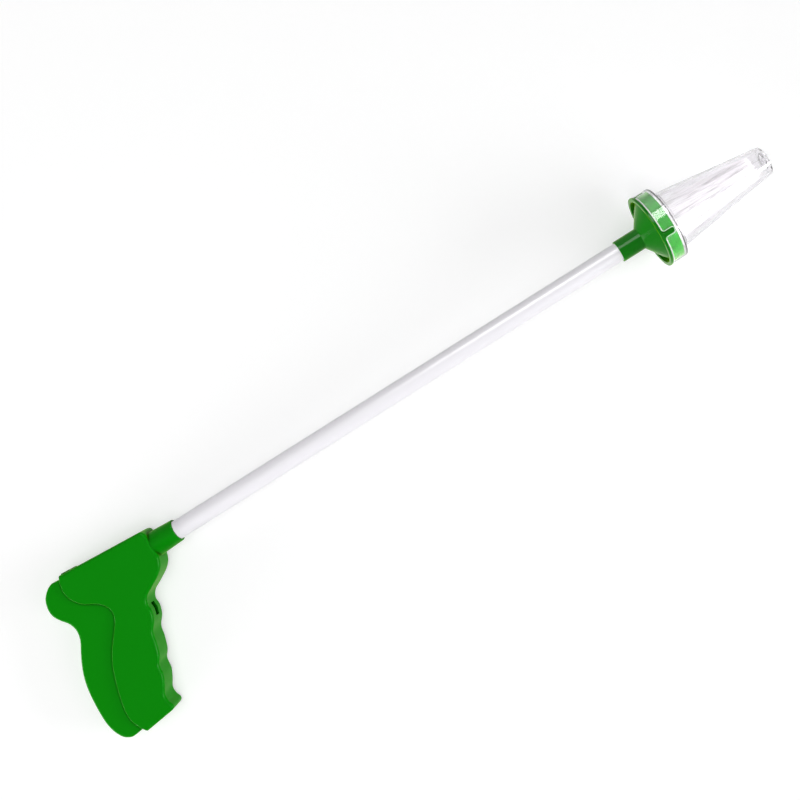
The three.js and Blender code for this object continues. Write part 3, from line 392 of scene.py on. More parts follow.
def slab(outline, low, high):
    """A closed outline of (x, y) points given a thickness from one height to another."""
    bm = bmesh.new()
    face = bm.faces.new([bm.verts.new((x, y, low)) for x, y in outline])
    grown = bmesh.ops.extrude_face_region(bm, geom=[face])
    risen = [item for item in grown["geom"] if isinstance(item, bmesh.types.BMVert)]
    bmesh.ops.translate(bm, verts=risen, vec=(0, 0, high - low))
    bmesh.ops.recalc_face_normals(bm, faces=bm.faces)
    return bm


def box(low, high):
    """A block between two corners."""
    bm = bmesh.new()
    middle = [(a + b) / 2 for a, b in zip(low, high)]
    size = [b - a for a, b in zip(low, high)]
    bmesh.ops.create_cube(bm, size=1, matrix=Matrix.Translation(middle) @ Matrix.Diagonal((*size, 1)))
    return bm


def turned_to(bm, degrees):
    """The same shape turned about the tube's axis."""
    turn = Matrix.Rotation(math.radians(degrees), 3, "X")
    bmesh.ops.rotate(bm, verts=bm.verts, cent=(0, 0, 0), matrix=turn)
    return bm


def eased(bm, width, segments, chosen):
    """The same shape with the edges that chosen picks rounded off."""
    edges = [edge for edge in bm.edges if len(edge.link_faces) == 2 and chosen(edge)]
    bmesh.ops.bevel(
        bm, geom=edges, offset=width, offset_type="OFFSET", affect="EDGES", segments=segments, profile=0.5,
        material=-1, clamp_overlap=False,
    )
    return bm


def sharper_than(degrees):
    """Picks the edges where two faces meet at more than this angle."""
    return lambda edge: edge.calc_face_angle(0) > math.radians(degrees)


def as_object(bm, name):
    mesh = bpy.data.meshes.new(name)
    bm.to_mesh(mesh)
    bm.free()
    made = bpy.data.objects.new(name, mesh)
    bpy.context.scene.collection.objects.link(made)
    return made


def combined(bm, *steps):
    """The shape after each (operation, other shape) in turn."""
    stock = as_object(bm, "stock")
    used = [stock]
    for operation, shape in steps:
        boolean = stock.modifiers.new(operation, "BOOLEAN")
        boolean.operation = operation
        boolean.solver = "EXACT"
        boolean.object = as_object(shape, "tool")
        used.append(boolean.object)
    result = bmesh.new()
    result.from_object(stock, bpy.context.evaluated_depsgraph_get())
    for item in used:
        mesh = item.data
        bpy.data.objects.remove(item)
        bpy.data.meshes.remove(mesh)
    bmesh.ops.remove_doubles(result, verts=result.verts, dist=WELD)
    return result


def finished(bm, name, finishes, body, node):
    """Sets a shape in its place as a piece, with its finishes and body, and hides the CAD node it stands
    for.
    """
    bm.transform(ON_AXIS)
    piece = as_object(bm, name)
    for finish in finishes:
        piece.data.materials.append(finish)
    piece.data.shade_smooth()
    piece.data.set_sharp_from_angle(angle=math.radians(CREASE))
    even = piece.modifiers.new("even shading", "WEIGHTED_NORMAL")
    even.keep_sharp = True
    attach(piece, body)
    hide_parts(node)
    return piece


def spline(points, steps):
    """A smooth line through points, with a number of steps for each span."""
    line = []
    for i in range(len(points) - 1):
        a, b, c, d = (Vector(points[min(max(i + k, 0), len(points) - 1)]) for k in (-1, 0, 1, 2))
        for step in range(steps):
            t = step / steps
            slow, fast = (c - a) / 2, (d - b) / 2
            curved = (2 * b - 2 * c + slow + fast) * t**3 + (3 * c - 3 * b - 2 * slow - fast) * t**2
            line.append(tuple(curved + slow * t + b))
    return line + [tuple(points[-1])]


def bend(start, corner, end, steps):
    """A rounding from start to end that bulges towards a corner."""
    a, b, c = Vector(start), Vector(corner), Vector(end)
    shares = [k / steps for k in range(steps + 1)]
    return [tuple(a * (1 - t) ** 2 + b * 2 * t * (1 - t) + c * t**2) for t in shares]


def set_in(points, distance):
    """A line of points moved to its right-hand side."""
    moved = []
    for i, point in enumerate(points):
        along = Vector(points[min(i + 1, len(points) - 1)]) - Vector(points[max(i - 1, 0)])
        side = Vector((along.y, -along.x)).normalized()
        moved.append(tuple(Vector(point) + side * distance))
    return moved


def height_at(x, a, b):
    """The height at x of the straight line through two points."""
    return a[1] + (x - a[0]) * (b[1] - a[1]) / (b[0] - a[0])


def where_at(points, y):
    """Where a line of points, going down, crosses a height."""
    after = next(i for i, point in enumerate(points) if point[1] < y)
    (ax, ay), (bx, by) = points[after - 1], points[after]
    return ax + (y - ay) * (bx - ax) / (by - ay)


# Tube

TUBE_BORE = 6.5
TUBE_OUTER = 7.7
TUBE_REAR_X = -16.2
TUBE_FRONT_X = 423.9
TUBE_STEPS = 96
TUBE_END_ROUND = 0.15


def tube():
    profile = [
        (TUBE_REAR_X, TUBE_BORE), (TUBE_REAR_X, TUBE_OUTER),
        (TUBE_FRONT_X, TUBE_OUTER), (TUBE_FRONT_X, TUBE_BORE),
    ]
    return eased(spun(profile, TUBE_STEPS), TUBE_END_ROUND, 2, sharper_than(SQUARE))


finished(tube(), "tube_body", [tube_white], "frame", "outer_tube")


# Head cup: neck, cone, band with its bead, and the keys that the cap's slots slide over

NECK_MOUTH_X = 409.0
NECK_OUTER = 8.9
SOCKET = 7.85
CONE_START_X = 428.6
CONE_END_X = 441.6
CONE_WALL = 1.95
BAND_BACK_X = 437.7
BEAD_FRONT_X = 439.7
BEAD_OUTER = 30.8
BAND_OUTER = 29.0
BAND_INNER = 27.5
BAND_FRONT_X = 450.5
KEY_FRONT_X = 447.7
KEY_WIDTH = 2.5
KEY_TOP = 30.1
KEY_ROOT = 0.8
KEY_ANGLES = (15, 105, 195, 285)
POCKET_X = 432.0
POCKET_RADIUS = 6.5
THROAT_RADIUS = 3.0
THROAT_X = 427.75
SOCKET_END_X = 424.2
HEAD_STEPS = 160
CUP_ROUND = 0.35
KEY_ROUND = 0.3


def cup():
    body = spun(
        [
            (NECK_MOUTH_X, SOCKET), (NECK_MOUTH_X, NECK_OUTER), (CONE_START_X, NECK_OUTER),
            (CONE_END_X, BAND_INNER), (BAND_BACK_X, BAND_INNER), (BAND_BACK_X, BEAD_OUTER),
            (BEAD_FRONT_X, BEAD_OUTER), (BEAD_FRONT_X, BAND_OUTER), (BAND_FRONT_X, BAND_OUTER),
            (BAND_FRONT_X, BAND_INNER), (CONE_END_X + CONE_WALL, BAND_INNER), (POCKET_X, POCKET_RADIUS),
            (THROAT_X, POCKET_RADIUS), (THROAT_X, THROAT_RADIUS), (SOCKET_END_X, THROAT_RADIUS),
            (SOCKET_END_X, SOCKET),
        ],
        HEAD_STEPS,
    )
    eased(body, CUP_ROUND, 3, sharper_than(40))
    keys = []
    for angle in KEY_ANGLES:
        key = box(
            (BEAD_FRONT_X - OVERLAP, -KEY_WIDTH / 2, BAND_OUTER - KEY_ROOT),
            (KEY_FRONT_X, KEY_WIDTH / 2, KEY_TOP),
        )
        eased(key, KEY_ROUND, 3, sharper_than(SQUARE))
        keys.append(("UNION", turned_to(key, angle)))
    return combined(body, *keys)


finished(cup(), "cup_body", [head_green], "frame", "head_cup")


# Clear cap: skirt over the band, shoulder, long cone and closed tip

CAP_SKIRT_BACK_X = 440.0
CAP_SKIRT_OUTER = 30.3
CAP_SKIRT_INNER = 29.3
CAP_SHOULDER_X = 453.0
CAP_CONE_X = 456.0
CAP_CONE_RADIUS = 24.2
CAP_TIP_X = 543.95
CAP_TIP_RADIUS = 11.8
CAP_WALL = 1.2
# Where the shoulder turns into the cone, inside and outside the wall
SHOULDER_INSIDE = (CAP_CONE_X - 1.0, CAP_CONE_RADIUS - 0.2)
SHOULDER_OUTSIDE = (CAP_CONE_X - 0.5, CAP_CONE_RADIUS + 1.0)
CONE_FOOT = (CAP_CONE_X + 0.5, CAP_CONE_RADIUS)
CAP_ROUND = 0.4
# The stub that the mould's gate leaves inside the tip, and the low ring round it
GATE_HEIGHT = 1.0
GATE_TOP = 1.5
GATE_FOOT = 2.0
RING_HEIGHT = 0.8
RING_INNER = 5.0
RING_OUTER = 6.8
RING_SLOPE = 0.4
# The skirt's rim is matt as far as this
RIM_BAND = 1.0
SLOT_HALF = 2.25
SLOT_FLARE = 3.0
SLOT_CORNER = 1.6
SLOT_END_X = 449.5
SLOT_STEPS = 8
SLOT_ROUND = 0.5
# The slots' outer edges are rounded from here on
SLOT_ROUND_START_X = CAP_SKIRT_BACK_X + 0.4
# For telling which surface a part of the finished cap is on: a slack, and a face's share of facing outwards
NEAR = 0.05
FACING_OUT = 0.97


def slot_cutter():
    """The slot's outline: a flared mouth at the skirt's edge, straight sides and a round end."""
    start_x = CAP_SKIRT_BACK_X
    mouth = SLOT_HALF + SLOT_FLARE
    side = [
        (start_x - CUT_MARGIN, mouth),
        *bend((start_x, mouth), (start_x, SLOT_HALF), (start_x + SLOT_FLARE, SLOT_HALF), SLOT_STEPS),
        *bend((SLOT_END_X - SLOT_CORNER, SLOT_HALF), (SLOT_END_X, SLOT_HALF), (SLOT_END_X, 0), SLOT_STEPS),
    ]
    outline = side + [(x, -y) for x, y in reversed(side[:-1])]
    return slab(outline, BAND_INNER, CAP_SKIRT_OUTER + CUT_MARGIN)


def on_skirt_edge(face):
    """Picks the skirt's back rim and the walls of its slots."""
    middle = face.calc_center_median()
    radius = math.hypot(middle.y, middle.z)
    outward = Vector((0, middle.y, middle.z)).normalized()
    if not CAP_SKIRT_INNER - NEAR < radius < CAP_SKIRT_OUTER + NEAR:
        return False
    if middle.x < CAP_SKIRT_BACK_X + RIM_BAND:
        return True
    return middle.x < SLOT_END_X + 2 * NEAR and abs(face.normal.dot(outward)) < FACING_OUT


def slot_rim(edge):
    """Picks the outer edges of the slots, but not those at their mouths."""
    def outside(v):
        radius = math.hypot(v.co.y, v.co.z)
        return radius > CAP_SKIRT_OUTER - 2 * NEAR and v.co.x > SLOT_ROUND_START_X
    beside_slot = any(on_skirt_edge(face) for face in edge.link_faces)
    return beside_slot and sharper_than(SQUARE)(edge) and all(outside(v) for v in edge.verts)


def cap():
    inner_tip_x = CAP_TIP_X - CAP_WALL
    body = spun(
        [
            (inner_tip_x - GATE_HEIGHT, 0), (inner_tip_x - GATE_HEIGHT, GATE_TOP), (inner_tip_x, GATE_FOOT),
            (inner_tip_x, RING_INNER), (inner_tip_x - RING_HEIGHT, RING_INNER + RING_SLOPE),
            (inner_tip_x - RING_HEIGHT, RING_OUTER - RING_SLOPE), (inner_tip_x, RING_OUTER),
            (inner_tip_x, CAP_TIP_RADIUS - CAP_WALL), (CAP_CONE_X, CAP_CONE_RADIUS - CAP_WALL),
            SHOULDER_INSIDE, (CAP_SHOULDER_X, CAP_SKIRT_INNER - CAP_WALL),
            (CAP_SHOULDER_X - CAP_WALL, CAP_SKIRT_INNER), (CAP_SKIRT_BACK_X, CAP_SKIRT_INNER),
            (CAP_SKIRT_BACK_X, CAP_SKIRT_OUTER), (CAP_SKIRT_BACK_X + RIM_BAND, CAP_SKIRT_OUTER),
            (CAP_SHOULDER_X, CAP_SKIRT_OUTER), SHOULDER_OUTSIDE, CONE_FOOT, (CAP_TIP_X, CAP_TIP_RADIUS),
            (CAP_TIP_X, 0),
        ],
        HEAD_STEPS,
    )
    eased(body, CAP_ROUND, 4, sharper_than(25))
    cut = combined(body, *[("DIFFERENCE", turned_to(slot_cutter(), angle)) for angle in KEY_ANGLES])
    eased(cut, SLOT_ROUND, 2, slot_rim)
    for face in cut.faces:
        face.material_index = int(on_skirt_edge(face))
    return cut


finished(cap(), "cap_clear", [clear_plastic, clear_edge], "cap", "clear_cap")


# Grip: the shell that the fingers close on, and the slider in the palm. A LINE is an outline of (x, y)
# points, the same on both flat sides, and a HALF is half a width across the grip.

GRIP_HALF = 11.0
GRIP_WALL = 1.6
GRIP_FILLET = 2.4
SLIDE_GAP = 0.35
COLLAR_LENGTH = 19.8
COLLAR_DEPTH = 16.5
COLLAR_MOUTH_RADIUS = 9.2
COLLAR_ROOT_X = -COLLAR_LENGTH - 0.5
COLLAR_ROOT_RADIUS = 10.3
COLLAR_INSIDE_RADIUS = 9.3
COLLAR_ROUND = 0.4
STROKE = 11.3
FINE_STEPS = 8
INNER_STEPS = 3
COARSE_STEPS = 2
FILLET_SEGMENTS = 6
TOP_FRONT = (-24.2, 14.2)
TOP_REAR = (-93.4, 18.6)
BOTTOM_FRONT = (-75.8, -116.6)
BOTTOM_REAR = (-98.8, -119.7)
NOSE_TOP_Y = 9.6
HEEL_TIP = (-71.7, -112)
HEEL_CORNER = (-70.7, -116.1)
FINGER_LINE = [
    (-COLLAR_LENGTH, -10), (-22.6, -16.6), (-28, -21.8), (-36.5, -26.8), (-43.2, -30.6), (-46.6, -36),
    (-46.7, -42.6), (-49.4, -50), (-54.6, -57), (-56.7, -65.5), (-60, -75), (-64.2, -81.2), (-65.6, -89.6),
    (-69, -96.8), (-72.6, -102.8), (-73, -108), HEEL_TIP,
]
RIM_LINE = [
    BOTTOM_REAR, (-102.2, -114), (-104.9, -106.5), (-105, -97), (-101.9, -83.5), (-97.7, -70.3),
    (-93.4, -60.2), (-88.2, -51.6), (-80.8, -42.2), (-74.7, -34), (-72.7, -26.5), (-75.2, -19.6),
    (-81.6, -14), (-88.6, -9.9), (-94, -3.4), (-96.6, 4.6), (-95.6, 12), TOP_REAR,
]
PALM_LINE = [
    (-103, 16.5), (-108.2, 13.8), (-112.8, 8.8), (-115.3, 1.6), (-114.9, -5.6), (-111.4, -12),
    (-107.2, -17.6), (-105.3, -24.6), (-107, -32.6), (-111.8, -41.2), (-116.8, -51), (-120.6, -61.6),
    (-122.8, -73), (-123.9, -86), (-124, -97), (-122.4, -106), (-118.6, -113.6), (-113.4, -117.3),
]
MOUTH_LINE = [(-88, -106), (-81, -90), (-72, -68), (-64, -48), (-60, -30), (-38, -14)]
# Past the grip on every side, where the shell's outline runs on before the rim is cut
FAR_REAR_X = -135.0
FAR_TOP_Y = 40.0
FAR_BOTTOM_Y = -140.0


def grip_top(x):
    return height_at(x, TOP_FRONT, TOP_REAR)


def grip_bottom(x):
    return height_at(x, BOTTOM_FRONT, BOTTOM_REAR)


def grip_front(steps):
    """The grip's outline from its top rear corner, over the nose and fingers, to its bottom rear corner."""
    nose = bend(
        TOP_FRONT, (-COLLAR_LENGTH, grip_top(-COLLAR_LENGTH)), (-COLLAR_LENGTH, NOSE_TOP_Y), 2 * steps
    )
    heel = bend(HEEL_TIP, HEEL_CORNER, BOTTOM_FRONT, 2 * steps)
    return [TOP_REAR, *nose, *spline(FINGER_LINE, steps), *heel[1:], BOTTOM_REAR]


def run_back(points, inset):
    """The outline closed far behind the rim, its straight top and bottom set in."""
    return [
        (FAR_REAR_X, grip_top(FAR_REAR_X) - inset), *points, (FAR_REAR_X, grip_bottom(FAR_REAR_X) + inset)
    ]


def outline_edge(height):
    """Picks the edges round a slab's two flat sides, at this height above and below its middle."""
    return lambda edge: abs(abs(sum(v.co.z for v in edge.verts)) - 2 * height) < WELD


def along_wall(line):
    """Picks the edges that lie on the wall standing on a line of points, and run along it."""
    def near(v):
        for (ax, ay), (bx, by) in zip(line, line[1:]):
            dx, dy = bx - ax, by - ay
            t = min(max(((v.co.x - ax) * dx + (v.co.y - ay) * dy) / (dx * dx + dy * dy), 0), 1)
            if math.hypot(v.co.x - ax - t * dx, v.co.y - ay - t * dy) < 10 * WELD:
                return True
        return False
    return lambda edge: all(near(v) for v in edge.verts)


LIP_RISE = 0.7
LIP_BACK_X = TOP_REAR[0] + 0.5
LIP_FRONT_X = LIP_BACK_X + 7.0
LIP_ROUND = 0.25
LIP_HALF = 7.5
WINDOW = (-47.9, -37.2)
WINDOW_HALF = 3.0
RIM_ROUND = 0.75
# The two catches that keep the slider in: the shell's hook and the slider's tongue
CATCH_THICKNESS = 2.0
BARB = 2.4
HOOK_ABOVE_WINDOW = 2.3
HOOK_REACH = 19.3
CATCH_GAP = 0.5


def lip():
    """The low raised bar across the shell's top edge, beside its rim."""
    bar = slab(
        [
            (LIP_BACK_X, grip_top(LIP_BACK_X) - GRIP_WALL / 2),
            (LIP_BACK_X + LIP_RISE, grip_top(LIP_BACK_X) + LIP_RISE),
            (LIP_FRONT_X, grip_top(LIP_FRONT_X) + LIP_RISE),
            (LIP_FRONT_X + 2 * LIP_RISE, grip_top(LIP_FRONT_X) - GRIP_WALL / 2),
        ],
        -LIP_HALF, LIP_HALF,
    )
    return eased(bar, LIP_ROUND, 3, sharper_than(40))


def hook():
    """The catch behind the window that keeps the slider in."""
    top = WINDOW[1] + HOOK_ABOVE_WINDOW
    under = top - CATCH_THICKNESS
    root = where_at(FINGER_LINE, under) - GRIP_WALL / 2
    end = root - HOOK_REACH
    barb_x = end + CATCH_THICKNESS
    return slab(
        [
            (root, top), (end, top), (end, under - BARB), (barb_x, under - BARB), (barb_x, under),
            (root, under),
        ],
        -WINDOW_HALF, WINDOW_HALF,
    )


def collar():
    """The sleeve that the tube is set in, solid until the bore is cut."""
    sleeve = spun(
        [
            (-COLLAR_LENGTH - GRIP_WALL, 0), (-COLLAR_LENGTH - GRIP_WALL, COLLAR_INSIDE_RADIUS),
            (COLLAR_ROOT_X, COLLAR_ROOT_RADIUS), (0, COLLAR_MOUTH_RADIUS), (0, 0),
        ],
        HEAD_STEPS,
    )
    at_mouth = lambda edge: sharper_than(SQUARE)(edge) and edge.verts[0].co.x > -WELD
    return eased(sleeve, COLLAR_ROUND, 3, at_mouth)


def shell():
    outside = eased(
        slab(run_back(grip_front(FINE_STEPS), 0), -GRIP_HALF, GRIP_HALF),
        GRIP_FILLET, FILLET_SEGMENTS, outline_edge(GRIP_HALF),
    )
    inner_half = GRIP_HALF - GRIP_WALL
    inside = slab(
        run_back(set_in(grip_front(INNER_STEPS), GRIP_WALL), GRIP_WALL), -inner_half, inner_half
    )
    rim = spline(RIM_LINE, FINE_STEPS)
    behind = FAR_REAR_X - GRIP_HALF
    behind_rim = slab(
        [*rim, (behind, FAR_TOP_Y), (behind, FAR_BOTTOM_Y)], -GRIP_HALF - CUT_MARGIN, GRIP_HALF + CUT_MARGIN
    )
    hollow = combined(outside, ("DIFFERENCE", inside), ("DIFFERENCE", behind_rim))
    on_rim = along_wall(rim)
    eased(hollow, RIM_ROUND, 4, lambda edge: sharper_than(SQUARE)(edge) and on_rim(edge))
    window_x = where_at(FINGER_LINE, WINDOW[0])
    window = box(
        (window_x - 2 * GRIP_WALL, WINDOW[0], -WINDOW_HALF),
        (window_x + 3 * GRIP_WALL, WINDOW[1], WINDOW_HALF),
    )
    bore_end_x = -COLLAR_LENGTH - GRIP_WALL - CUT_MARGIN
    bore = spun(
        [
            (bore_end_x, 0), (bore_end_x, TUBE_BORE), (-COLLAR_DEPTH, TUBE_BORE), (-COLLAR_DEPTH, SOCKET),
            (CUT_MARGIN, SOCKET), (CUT_MARGIN, 0),
        ],
        HEAD_STEPS,
    )
    return combined(
        hollow, ("UNION", lip()), ("DIFFERENCE", window), ("UNION", hook()), ("UNION", collar()),
        ("DIFFERENCE", bore),
    )


finished(shell(), "grip_shell_body", [grip_green], "frame", "front_grip_shell")


SLIDER_HALF = GRIP_HALF - GRIP_WALL - SLIDE_GAP
SLIDER_FILLET = 2.0
SLIDER_INSET = GRIP_WALL + SLIDE_GAP
PALM_TOP_X = -99.0
PALM_BOTTOM_X = -109.0
BOSS_RADIUS = 5.2
BOSS_FRONT_X = -60.0
BOSS_BACK_X = -114.0
BOSS_STEPS = 48
ROD_HOLE = 2.3
ROD_HOLE_END_X = -98.8
RIB_BACK_X = -82.0
RIB_FRONT_X = -62.0
RIB_HALF = 1.0
TONGUE_END_X = -64.0
TONGUE_LEAD = 0.6
WEB_FRONT_X = TONGUE_END_X - 18.3
WEB_BELOW_WINDOW = 10
WEB_ABOVE_WINDOW = 5.2


def slider_top(x):
    return grip_top(x + STROKE) - SLIDER_INSET


def slider_bottom(x):
    return grip_bottom(x + STROKE) + SLIDER_INSET


def web():
    """The wall across the slider that carries its tongue."""
    half = SLIDER_HALF - GRIP_WALL + OVERLAP
    return box(
        (WEB_FRONT_X - GRIP_WALL, WINDOW[0] - WEB_BELOW_WINDOW, -half),
        (WEB_FRONT_X, WINDOW[1] + WEB_ABOVE_WINDOW, half),
    )


def tongue():
    """The slider's catch, which meets the shell's hook when the grip is let go."""
    top = WINDOW[1] + HOOK_ABOVE_WINDOW - CATCH_THICKNESS - BARB - CATCH_GAP
    under = top - CATCH_THICKNESS
    root = WEB_FRONT_X - OVERLAP
    barb_x = TONGUE_END_X - CATCH_THICKNESS
    return slab(
        [
            (root, top), (barb_x, top), (barb_x, top + BARB), (TONGUE_END_X, top + TONGUE_LEAD),
            (TONGUE_END_X, under), (root, under),
        ],
        -WINDOW_HALF, WINDOW_HALF,
    )


def slider():
    bottom_x = MOUTH_LINE[0][0] + GRIP_WALL / 2
    top_x = MOUTH_LINE[-1][0]
    palm = [(PALM_TOP_X, slider_top(PALM_TOP_X)), *PALM_LINE, (PALM_BOTTOM_X, slider_bottom(PALM_BOTTOM_X))]
    mouth = [(bottom_x, slider_bottom(bottom_x)), *MOUTH_LINE, (top_x, slider_top(top_x))]
    around = spline(palm, FINE_STEPS) + spline(mouth, INNER_STEPS)
    outside = eased(
        slab(around, -SLIDER_HALF, SLIDER_HALF), SLIDER_FILLET, FILLET_SEGMENTS, outline_edge(SLIDER_HALF)
    )
    coarse = spline(palm, COARSE_STEPS) + spline(mouth, COARSE_STEPS)
    inner_half = SLIDER_HALF - GRIP_WALL
    inside = slab(set_in([*coarse, coarse[0]], -GRIP_WALL)[:-1], -inner_half, inner_half)
    inner_mouth = [
        (bottom_x, slider_bottom(bottom_x) + GRIP_WALL), *MOUTH_LINE, (top_x, slider_top(top_x) - GRIP_WALL)
    ]
    opening = slab(
        [(x - 3 * GRIP_WALL, y) for x, y in inner_mouth]
        + [(x + 5 * GRIP_WALL, y) for x, y in reversed(inner_mouth)],
        -inner_half, inner_half,
    )
    boss = spun(
        [(BOSS_BACK_X, 0), (BOSS_BACK_X, BOSS_RADIUS), (BOSS_FRONT_X, BOSS_RADIUS), (BOSS_FRONT_X, 0)],
        BOSS_STEPS,
    )
    hole_front_x = BOSS_FRONT_X + CUT_MARGIN
    rod_hole = spun(
        [(ROD_HOLE_END_X, 0), (ROD_HOLE_END_X, ROD_HOLE), (hole_front_x, ROD_HOLE), (hole_front_x, 0)],
        BOSS_STEPS,
    )
    rib = box(
        (RIB_BACK_X, BOSS_RADIUS - OVERLAP, -RIB_HALF),
        (RIB_FRONT_X, slider_top(RIB_FRONT_X) - GRIP_WALL + OVERLAP, RIB_HALF),
    )
    return combined(
        outside, ("DIFFERENCE", inside), ("DIFFERENCE", opening), ("UNION", boss), ("UNION", rib),
        ("UNION", web()), ("UNION", tongue()), ("DIFFERENCE", rod_hole),
    )


finished(slider(), "palm_slider_body", [grip_green], "trigger", "palm_slider")


# Return spring: one wire, its end turns closer than the open ones

SPRING_START_X = -59.1
SPRING_END_X = -24.2
COIL_RADIUS = 4.4
WIRE_RADIUS = 0.6
WIRE_SIDES = 10
END_PITCH = 1.8
OPEN_TURNS = 8
TURN_STEPS = 28


def edges_of(geometry):
    return [item for item in geometry if isinstance(item, bmesh.types.BMEdge)]


def spring():
    bm = bmesh.new()
    ring = bmesh.ops.create_circle(
        bm, cap_ends=False, segments=WIRE_SIDES, radius=WIRE_RADIUS,
        matrix=Matrix.Translation((SPRING_START_X, COIL_RADIUS, 0)),
    )
    live = ring["verts"] + list({edge for v in ring["verts"] for edge in v.link_edges})
    bmesh.ops.contextual_create(bm, geom=edges_of(live))
    open_pitch = (SPRING_END_X - SPRING_START_X - 2 * END_PITCH) / OPEN_TURNS
    for turns, pitch in ((1, END_PITCH), (OPEN_TURNS, open_pitch), (1, END_PITCH)):
        for _ in range(turns):
            grown = bmesh.ops.spin(
                bm, geom=live, cent=(0, 0, 0), axis=(1, 0, 0), dvec=(pitch / TURN_STEPS, 0, 0),
                angle=math.tau, steps=TURN_STEPS, use_merge=False,
            )
            live = grown["geom_last"]
    bmesh.ops.contextual_create(bm, geom=edges_of(live))
    bmesh.ops.remove_doubles(bm, verts=bm.verts, dist=WELD)
    bmesh.ops.recalc_face_normals(bm, faces=bm.faces)
    return bm


# The spring rides on the frame, where its seat is.
coil = finished(spring(), "return_spring_coil", [drawn_steel], "frame", "return_spring")
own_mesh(coil)


# Bristle tufts: curved rows of filaments, rooted in a quarter slice and drawn in towards their tips

SLICE_BACK_X = 450.65
SLICE_THICKNESS = 1.4
SLICE_INNER = 4.4
SLICE_OUTER = 18.4
SLICE_INNER_STEPS = 6
SLICE_OUTER_STEPS = 14
SLICE_ROUND = 0.2
SLICE_MARGIN = 0.7
ROOT_MARGIN = 1.3
ROOT_SIDE_MARGIN = 1.1
BRISTLE_TIP_X = 531.95
TAPER_IN = 0.55
ROWS = 10
PITCH = 1.5
STRAND_SIDES = 5
STRAND_BENDS = 3
STRAND_ROOT = 0.17
STRAND_TIP = 0.11
TRIM = 1.6
TIP_SCATTER = 0.4
BOW = 0.35


def half_turn(radius, margin):
    """How far a quarter reaches to each side at a radius, in radians, less a margin at its straight side."""
    return math.pi / 4 - math.asin(margin / radius)


def slice_of_tuft():
    """A quarter of a ring, with the filaments' melted roots in it."""
    def arc(radius, count):
        reach = half_turn(radius, SLICE_MARGIN)
        turns = [reach * (2 * k / count - 1) for k in range(count + 1)]
        return [(radius * math.sin(t), radius * math.cos(t)) for t in turns]
    outline = arc(SLICE_OUTER, SLICE_OUTER_STEPS) + arc(SLICE_INNER, SLICE_INNER_STEPS)[::-1]
    bm = slab(outline, 0, SLICE_THICKNESS)
    eased(bm, SLICE_ROUND, 2, sharper_than(SQUARE))
    # Stands the slab up across the axis: its x and y become Y and Z, and its height X
    bm.transform(Matrix(((0, 0, 1, SLICE_BACK_X), (1, 0, 0, 0), (0, 1, 0, 0), (0, 0, 0, 1))))
    return bm


def strand(bm, root, tip, bow):
    """One filament, a thin taper with a slight bow."""
    direction = tip - root
    turn = Vector((0, 0, 1)).rotation_difference(direction).to_matrix().to_4x4()
    made = bmesh.ops.create_cone(
        bm, cap_ends=True, segments=STRAND_SIDES, radius1=STRAND_ROOT, radius2=STRAND_TIP,
        depth=direction.length, matrix=Matrix.Translation((root + tip) / 2) @ turn,
    )
    edges = {edge for v in made["verts"] for edge in v.link_edges}
    long_edges = [edge for edge in edges if edge.calc_length() > direction.length / 2]
    cut = bmesh.ops.subdivide_edges(bm, edges=long_edges, cuts=STRAND_BENDS, use_grid_fill=False)
    for v in {item for item in cut["geom_inner"] if isinstance(item, bmesh.types.BMVert)}:
        along = (v.co - root).dot(direction) / direction.length_squared
        v.co += bow * math.sin(math.pi * along)


def tuft(number):
    """A quarter slice with its strands. Each strand draws its trim, tip and bow, in that order."""
    chance = random.Random(number - 1)
    bm = slice_of_tuft()
    root_x = SLICE_BACK_X + SLICE_THICKNESS / 2
    inner, outer = SLICE_INNER + ROOT_MARGIN, SLICE_OUTER - ROOT_MARGIN
    for row in range(ROWS):
        radius = inner + (outer - inner) * row / (ROWS - 1)
        reach = half_turn(radius, ROOT_SIDE_MARGIN)
        gaps = int(2 * reach * radius / PITCH)
        for i in range(gaps + 1):
            angle = reach * (2 * i / gaps - 1)
            y, z = radius * math.sin(angle), radius * math.cos(angle)
            tip_x = BRISTLE_TIP_X - TRIM * chance.random() ** 2
            tip_y = y * TAPER_IN + chance.uniform(-TIP_SCATTER, TIP_SCATTER)
            tip_z = z * TAPER_IN + chance.uniform(-TIP_SCATTER, TIP_SCATTER)
            bow = Vector((0, chance.uniform(-BOW, BOW), chance.uniform(-BOW, BOW)))
            strand(bm, Vector((root_x, y, z)), Vector((tip_x, tip_y, tip_z)), bow)
    return turned_to(bm, 90 * (number - 1))


for i in QUARTERS:
    finished(
        tuft(i), f"tuft_{i}_filaments", [bristle_nylon], f"petal_{i}", f"bristle_tuft_{i}"
    )


# Floor. It is tilted a little, so that it touches both the head's bead and the grip, as a table would.

FLOOR_SIZE = 6.0
# The white that the floor adds of its own, out to a reach in metres. It rises to 1 at twice the reach.
FLOOR_LIFT = 0.49
FLOOR_LIFT_REACH = 0.6

bead_middle_x = (BAND_BACK_X + BEAD_FRONT_X) / 2
BEAD_FOOT = Vector((COLLAR_MOUTH_X + bead_middle_x * MM, AXIS_Y, cup_low.z))
FLOOR_TILT = math.atan2(shell_low.z - BEAD_FOOT.z, BEAD_FOOT.x - shell_low.x)


def seen_directly(tree):
    """1 for the rays that show a surface: the camera's, mirrored ones and those through clear plastic."""
    rays = add_node(tree, "ShaderNodeLightPath", {}).outputs
    seen = rays["Is Camera Ray"]
    for kind in ("Is Glossy Ray", "Is Transmission Ray"):
        seen = add_node(tree, "ShaderNodeMath", {0: seen, 1: rays[kind]}, operation="MAXIMUM").outputs[0]
    return seen


